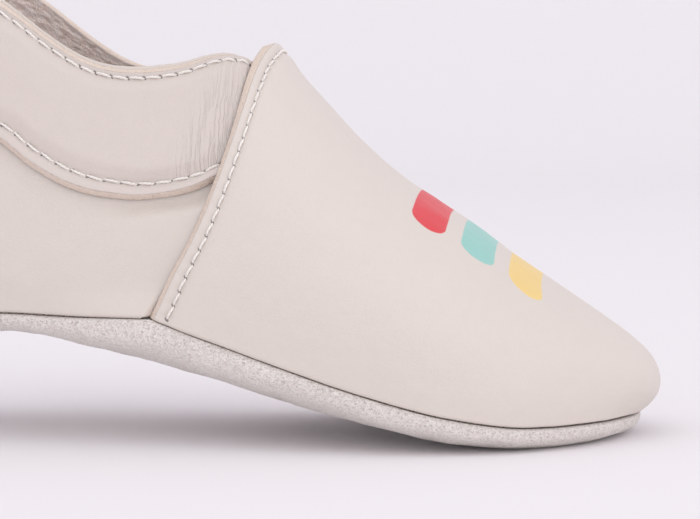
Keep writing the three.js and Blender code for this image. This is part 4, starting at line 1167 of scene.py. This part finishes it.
s_curl = tuck_in(s_edge, 0.5)
hor = unit(SN * vec(1, 1, 0.0) + 1e-9)
SO = SG + SN * (s_rel + seam_waves(SG, s_edge, 9.0, 0.12))[..., None] - hor * s_curl[..., None] * (s_edge < 0.5)[..., None]
SO[..., 2] = np.maximum(SO[..., 2], 0.0)
SI = SG - SN * (SOLE_T - 0.05 + s_curl * 0.5)[..., None]
SI[..., 2] = np.where(SG[..., 2] < 1e-6, np.maximum(SI[..., 2], SOLE_T), SI[..., 2])
SO[0], SO[-1] = SO[0].mean(0), SO[-1].mean(0)
SI[0], SI[-1] = SI[0].mean(0), SI[-1].mean(0)
sole = sheet("outsole_suede", SO, SI, M_SOLE, pole=(True, True), rim=4, bulge=0.05, data={"edge": s_edge})
bends(sole, "outsole_forefoot", "outsole_heel", slot="sole_suede")

KX = (62 - 3.6) / 62


def bed(name, mat, ky, low, high, n=220, m=90, x_trim=0.0, data=None, bulge=0.2):
    th = np.linspace(0, math.pi, n + 1)
    x0, x1 = TOE_TIP[0] * KX - x_trim, HEEL_TIP[0] * KX + x_trim
    xs = (x0 + x1) / 2 + (x0 - x1) / 2 * np.cos(th)
    v = -np.cos(math.pi * np.arange(m + 1) / m)
    X = np.clip(xs / KX, HEEL_TIP[0], TOE_TIP[0])
    y0, y1 = y_at(OUTER, X), y_at(INNER, X)
    y0[0] = y1[0] = TOE_TIP[1]
    y0[-1] = y1[-1] = HEEL_TIP[1]
    Y = ((y0 + y1) / 2)[:, None] + ((y1 - y0) / 2)[:, None] * ky * v[None]
    XX = np.repeat(xs[:, None], m + 1, 1)
    zt, zb = high(XX, Y), low(XX, Y)
    A, B = np.stack([XX, Y, zt], -1), np.stack([XX, Y, zb], -1)
    for g in (A, B):
        g[0], g[-1] = g[0].mean(0), g[-1].mean(0)
    return sheet(name, A, B, mat, pole=(True, True), rim=3, bulge=bulge, data=data)


def sole_floor(x, y):
    y0, y1 = y_at(OUTER, x), y_at(INNER, x)
    v = np.clip((y - (y0 + y1) / 2) / np.maximum(0.5, (y1 - y0) / 2), -1, 1)
    return sole_z(x, v)


def pad_low(x, y):
    e = 0.4
    xc = np.clip(x, HEEL_TIP[0] + 1, TOE_TIP[0] - 1)
    sx = (sole_floor(xc + e, y) - sole_floor(xc - e, y)) / (2 * e)
    sy = (sole_floor(xc, y + e) - sole_floor(xc, y - e)) / (2 * e)
    return np.minimum(sole_floor(xc, y) + SOLE_T * np.sqrt(1 + sx * sx + sy * sy) + GAP + 0.05, SEAM_Z(x) - 0.35)


soft_bed = lambda x, y: 0.3 * fbm(vec(x / 11.0, y / 11.0, 4.0), 2) - 0.25 * np.exp(-((y / 12.0) ** 2))
insole = bed("insole_lining", M_INSOLE, 0.835, lambda x, y: SEAM_Z(x) + 0.62 + soft_bed(x, y) * 0.8, lambda x, y: SEAM_Z(x) + 1.6 + soft_bed(x, y))
bends(insole, "insole_forefoot", "insole_heel", slot="insole_suede")
pad = bed("padding_pad", M_PAD, 0.81, pad_low, lambda x, y: SEAM_Z(x) + 0.25 + soft_bed(x, y) * 0.6 - 0.1, n=140, m=60, x_trim=0.8)
bends(pad, "padding_forefoot", "padding_heel", slot="padding")

# closing stitch of the turned seam, along the inside
seam_loop = []
for a_, sgn in ((OUTER, 1), (INNER, -1)):
    d_ = np.linspace(a_.total, 0, 260) if sgn == 1 else np.linspace(0, a_.total, 260)
    q = a_.at(d_)
    t = unit(a_.at(np.minimum(d_ + 0.8, a_.total)) - a_.at(np.maximum(d_ - 0.8, 0)))
    inn = vec(-t[:, 1], t[:, 0], 0.0) * sgn * -1
    c_ = vec(np.where(q[:, 0] > 40, 40 - q[:, 0], np.where(q[:, 0] < -42, -42 - q[:, 0], 0)), 0.5 - q[:, 1], 0.0)
    inn = np.where((inn * c_).sum(-1, keepdims=True) >= 0, inn, -inn)
    seam_loop.append((q, unit(inn)))
q = np.concatenate([seam_loop[0][0], seam_loop[1][0][1:]])
inn = np.concatenate([seam_loop[0][1], seam_loop[1][1][1:]])
for _ in range(8):
    inn[1:-1] = unit(inn[:-2] + 2 * inn[1:-1] + inn[2:])
q = q[3:-3]
inn = inn[3:-3]
ss, _ = stitches("sole_seam_stitches", q + inn * 2.6 + np.array([0, 0, -0.1]), inn, M_THREAD, pitch=3.4, radius=0.2, lift=0.08, dive=0.3)
bends(ss, "sole_seam_thread_forefoot", "sole_seam_thread_heel", slot="thread")


# ------------------------------------------------------------------ floor, light and camera
def material(name):
    m = bpy.data.materials.new(name)
    m.use_nodes = True
    return m


floor_mat = material("studio_floor")
_b = floor_mat.node_tree.nodes["Principled BSDF"]
_b.inputs["Base Color"].default_value = (0.875, 0.852, 0.872, 1)
_b.inputs["Roughness"].default_value = 0.9
_b.inputs["Specular IOR Level"].default_value = 0.15
# a floor that sweeps up into the backdrop, well behind the bootie
prof = [(-1.6, 0.0)] + [(0.9 + 0.5 * math.sin(a), 0.5 - 0.5 * math.cos(a)) for a in np.linspace(0, math.pi / 2, 24)] + [(1.4, 2.6)]
vs_, fs_ = [], []
for k, (py, pz) in enumerate(prof):
    vs_ += [(-3.0, py, pz), (3.0, py, pz)]
    if k:
        fs_.append((2 * k - 2, 2 * k - 1, 2 * k + 1, 2 * k))
me = bpy.data.meshes.new("studio_sweep")
me.from_pydata(vs_, [], fs_)
me.polygons.foreach_set("use_smooth", np.ones(len(me.polygons), bool))
me.materials.append(floor_mat)
sweep = bpy.data.objects.new("studio_sweep", me)
bpy.context.scene.collection.objects.link(sweep)


def area(name, loc, target, size, power, color=(1, 1, 1), size_y=None):
    li = bpy.data.lights.new(name, "AREA")
    li.energy, li.size, li.color = power, size, color
    if size_y:
        li.shape, li.size_y = "RECTANGLE", size_y
    ob = bpy.data.objects.new(name, li)
    ob.location = loc
    ob.rotation_mode = "QUATERNION"
    ob.rotation_quaternion = (Vector(target) - Vector(loc)).to_track_quat("-Z", "Y")
    bpy.context.scene.collection.objects.link(ob)
    return ob


area("key_overhead", (-0.15, -0.35, 1.25), (0.0, 0.0, 0.03), 1.3, 1.3, (1.0, 0.985, 0.975), 1.0)
area("front_fill", (0.95, -1.05, 0.45), (0.0, 0.0, 0.03), 1.1, 3.5, (1.0, 0.98, 0.985))
area("left_fill", (-0.7, -1.1, 0.6), (0.0, 0.0, 0.03), 1.1, 0.5, (1.0, 0.98, 0.985))
world = bpy.data.worlds.new("studio_world")
world.use_nodes = True
bg = world.node_tree.nodes["Background"]
bg.inputs["Color"].default_value = (0.93, 0.915, 0.95, 1)
bg.inputs["Strength"].default_value = 1.01
# what the camera sees past the edge of the floor has the floor's colour
_wt = world.node_tree
_seen = _wt.nodes.new("ShaderNodeBackground")
_seen.inputs["Color"].default_value = (0.875, 0.838, 0.885, 1)
_ray, _pick = _wt.nodes.new("ShaderNodeLightPath"), _wt.nodes.new("ShaderNodeMixShader")
_wt.links.new(_ray.outputs["Is Camera Ray"], _pick.inputs[0])
_wt.links.new(bg.outputs[0], _pick.inputs[1])
_wt.links.new(_seen.outputs[0], _pick.inputs[2])
_wt.links.new(_pick.outputs[0], _wt.nodes["World Output"].inputs["Surface"])
bpy.context.scene.world = world
bpy.context.scene.view_settings.view_transform = "Standard"
bpy.context.scene.view_settings.look = "None"

cam = bpy.data.cameras.new("camera")
cam.lens, cam.sensor_width = 139.37, 36.0
cam.clip_start, cam.clip_end = 0.01, 20
cam_ob = bpy.data.objects.new("camera", cam)
bpy.context.scene.collection.objects.link(cam_ob)
cam_ob.location = (0.06072, -0.41593, 0.05713)
cam_ob.rotation_mode = "QUATERNION"
cam_ob.rotation_quaternion = Vector((-0.10425, 0.99189, -0.07269)).to_track_quat("-Z", "Y")
bpy.context.scene.camera = cam_ob

bpy.context.view_layer.update()
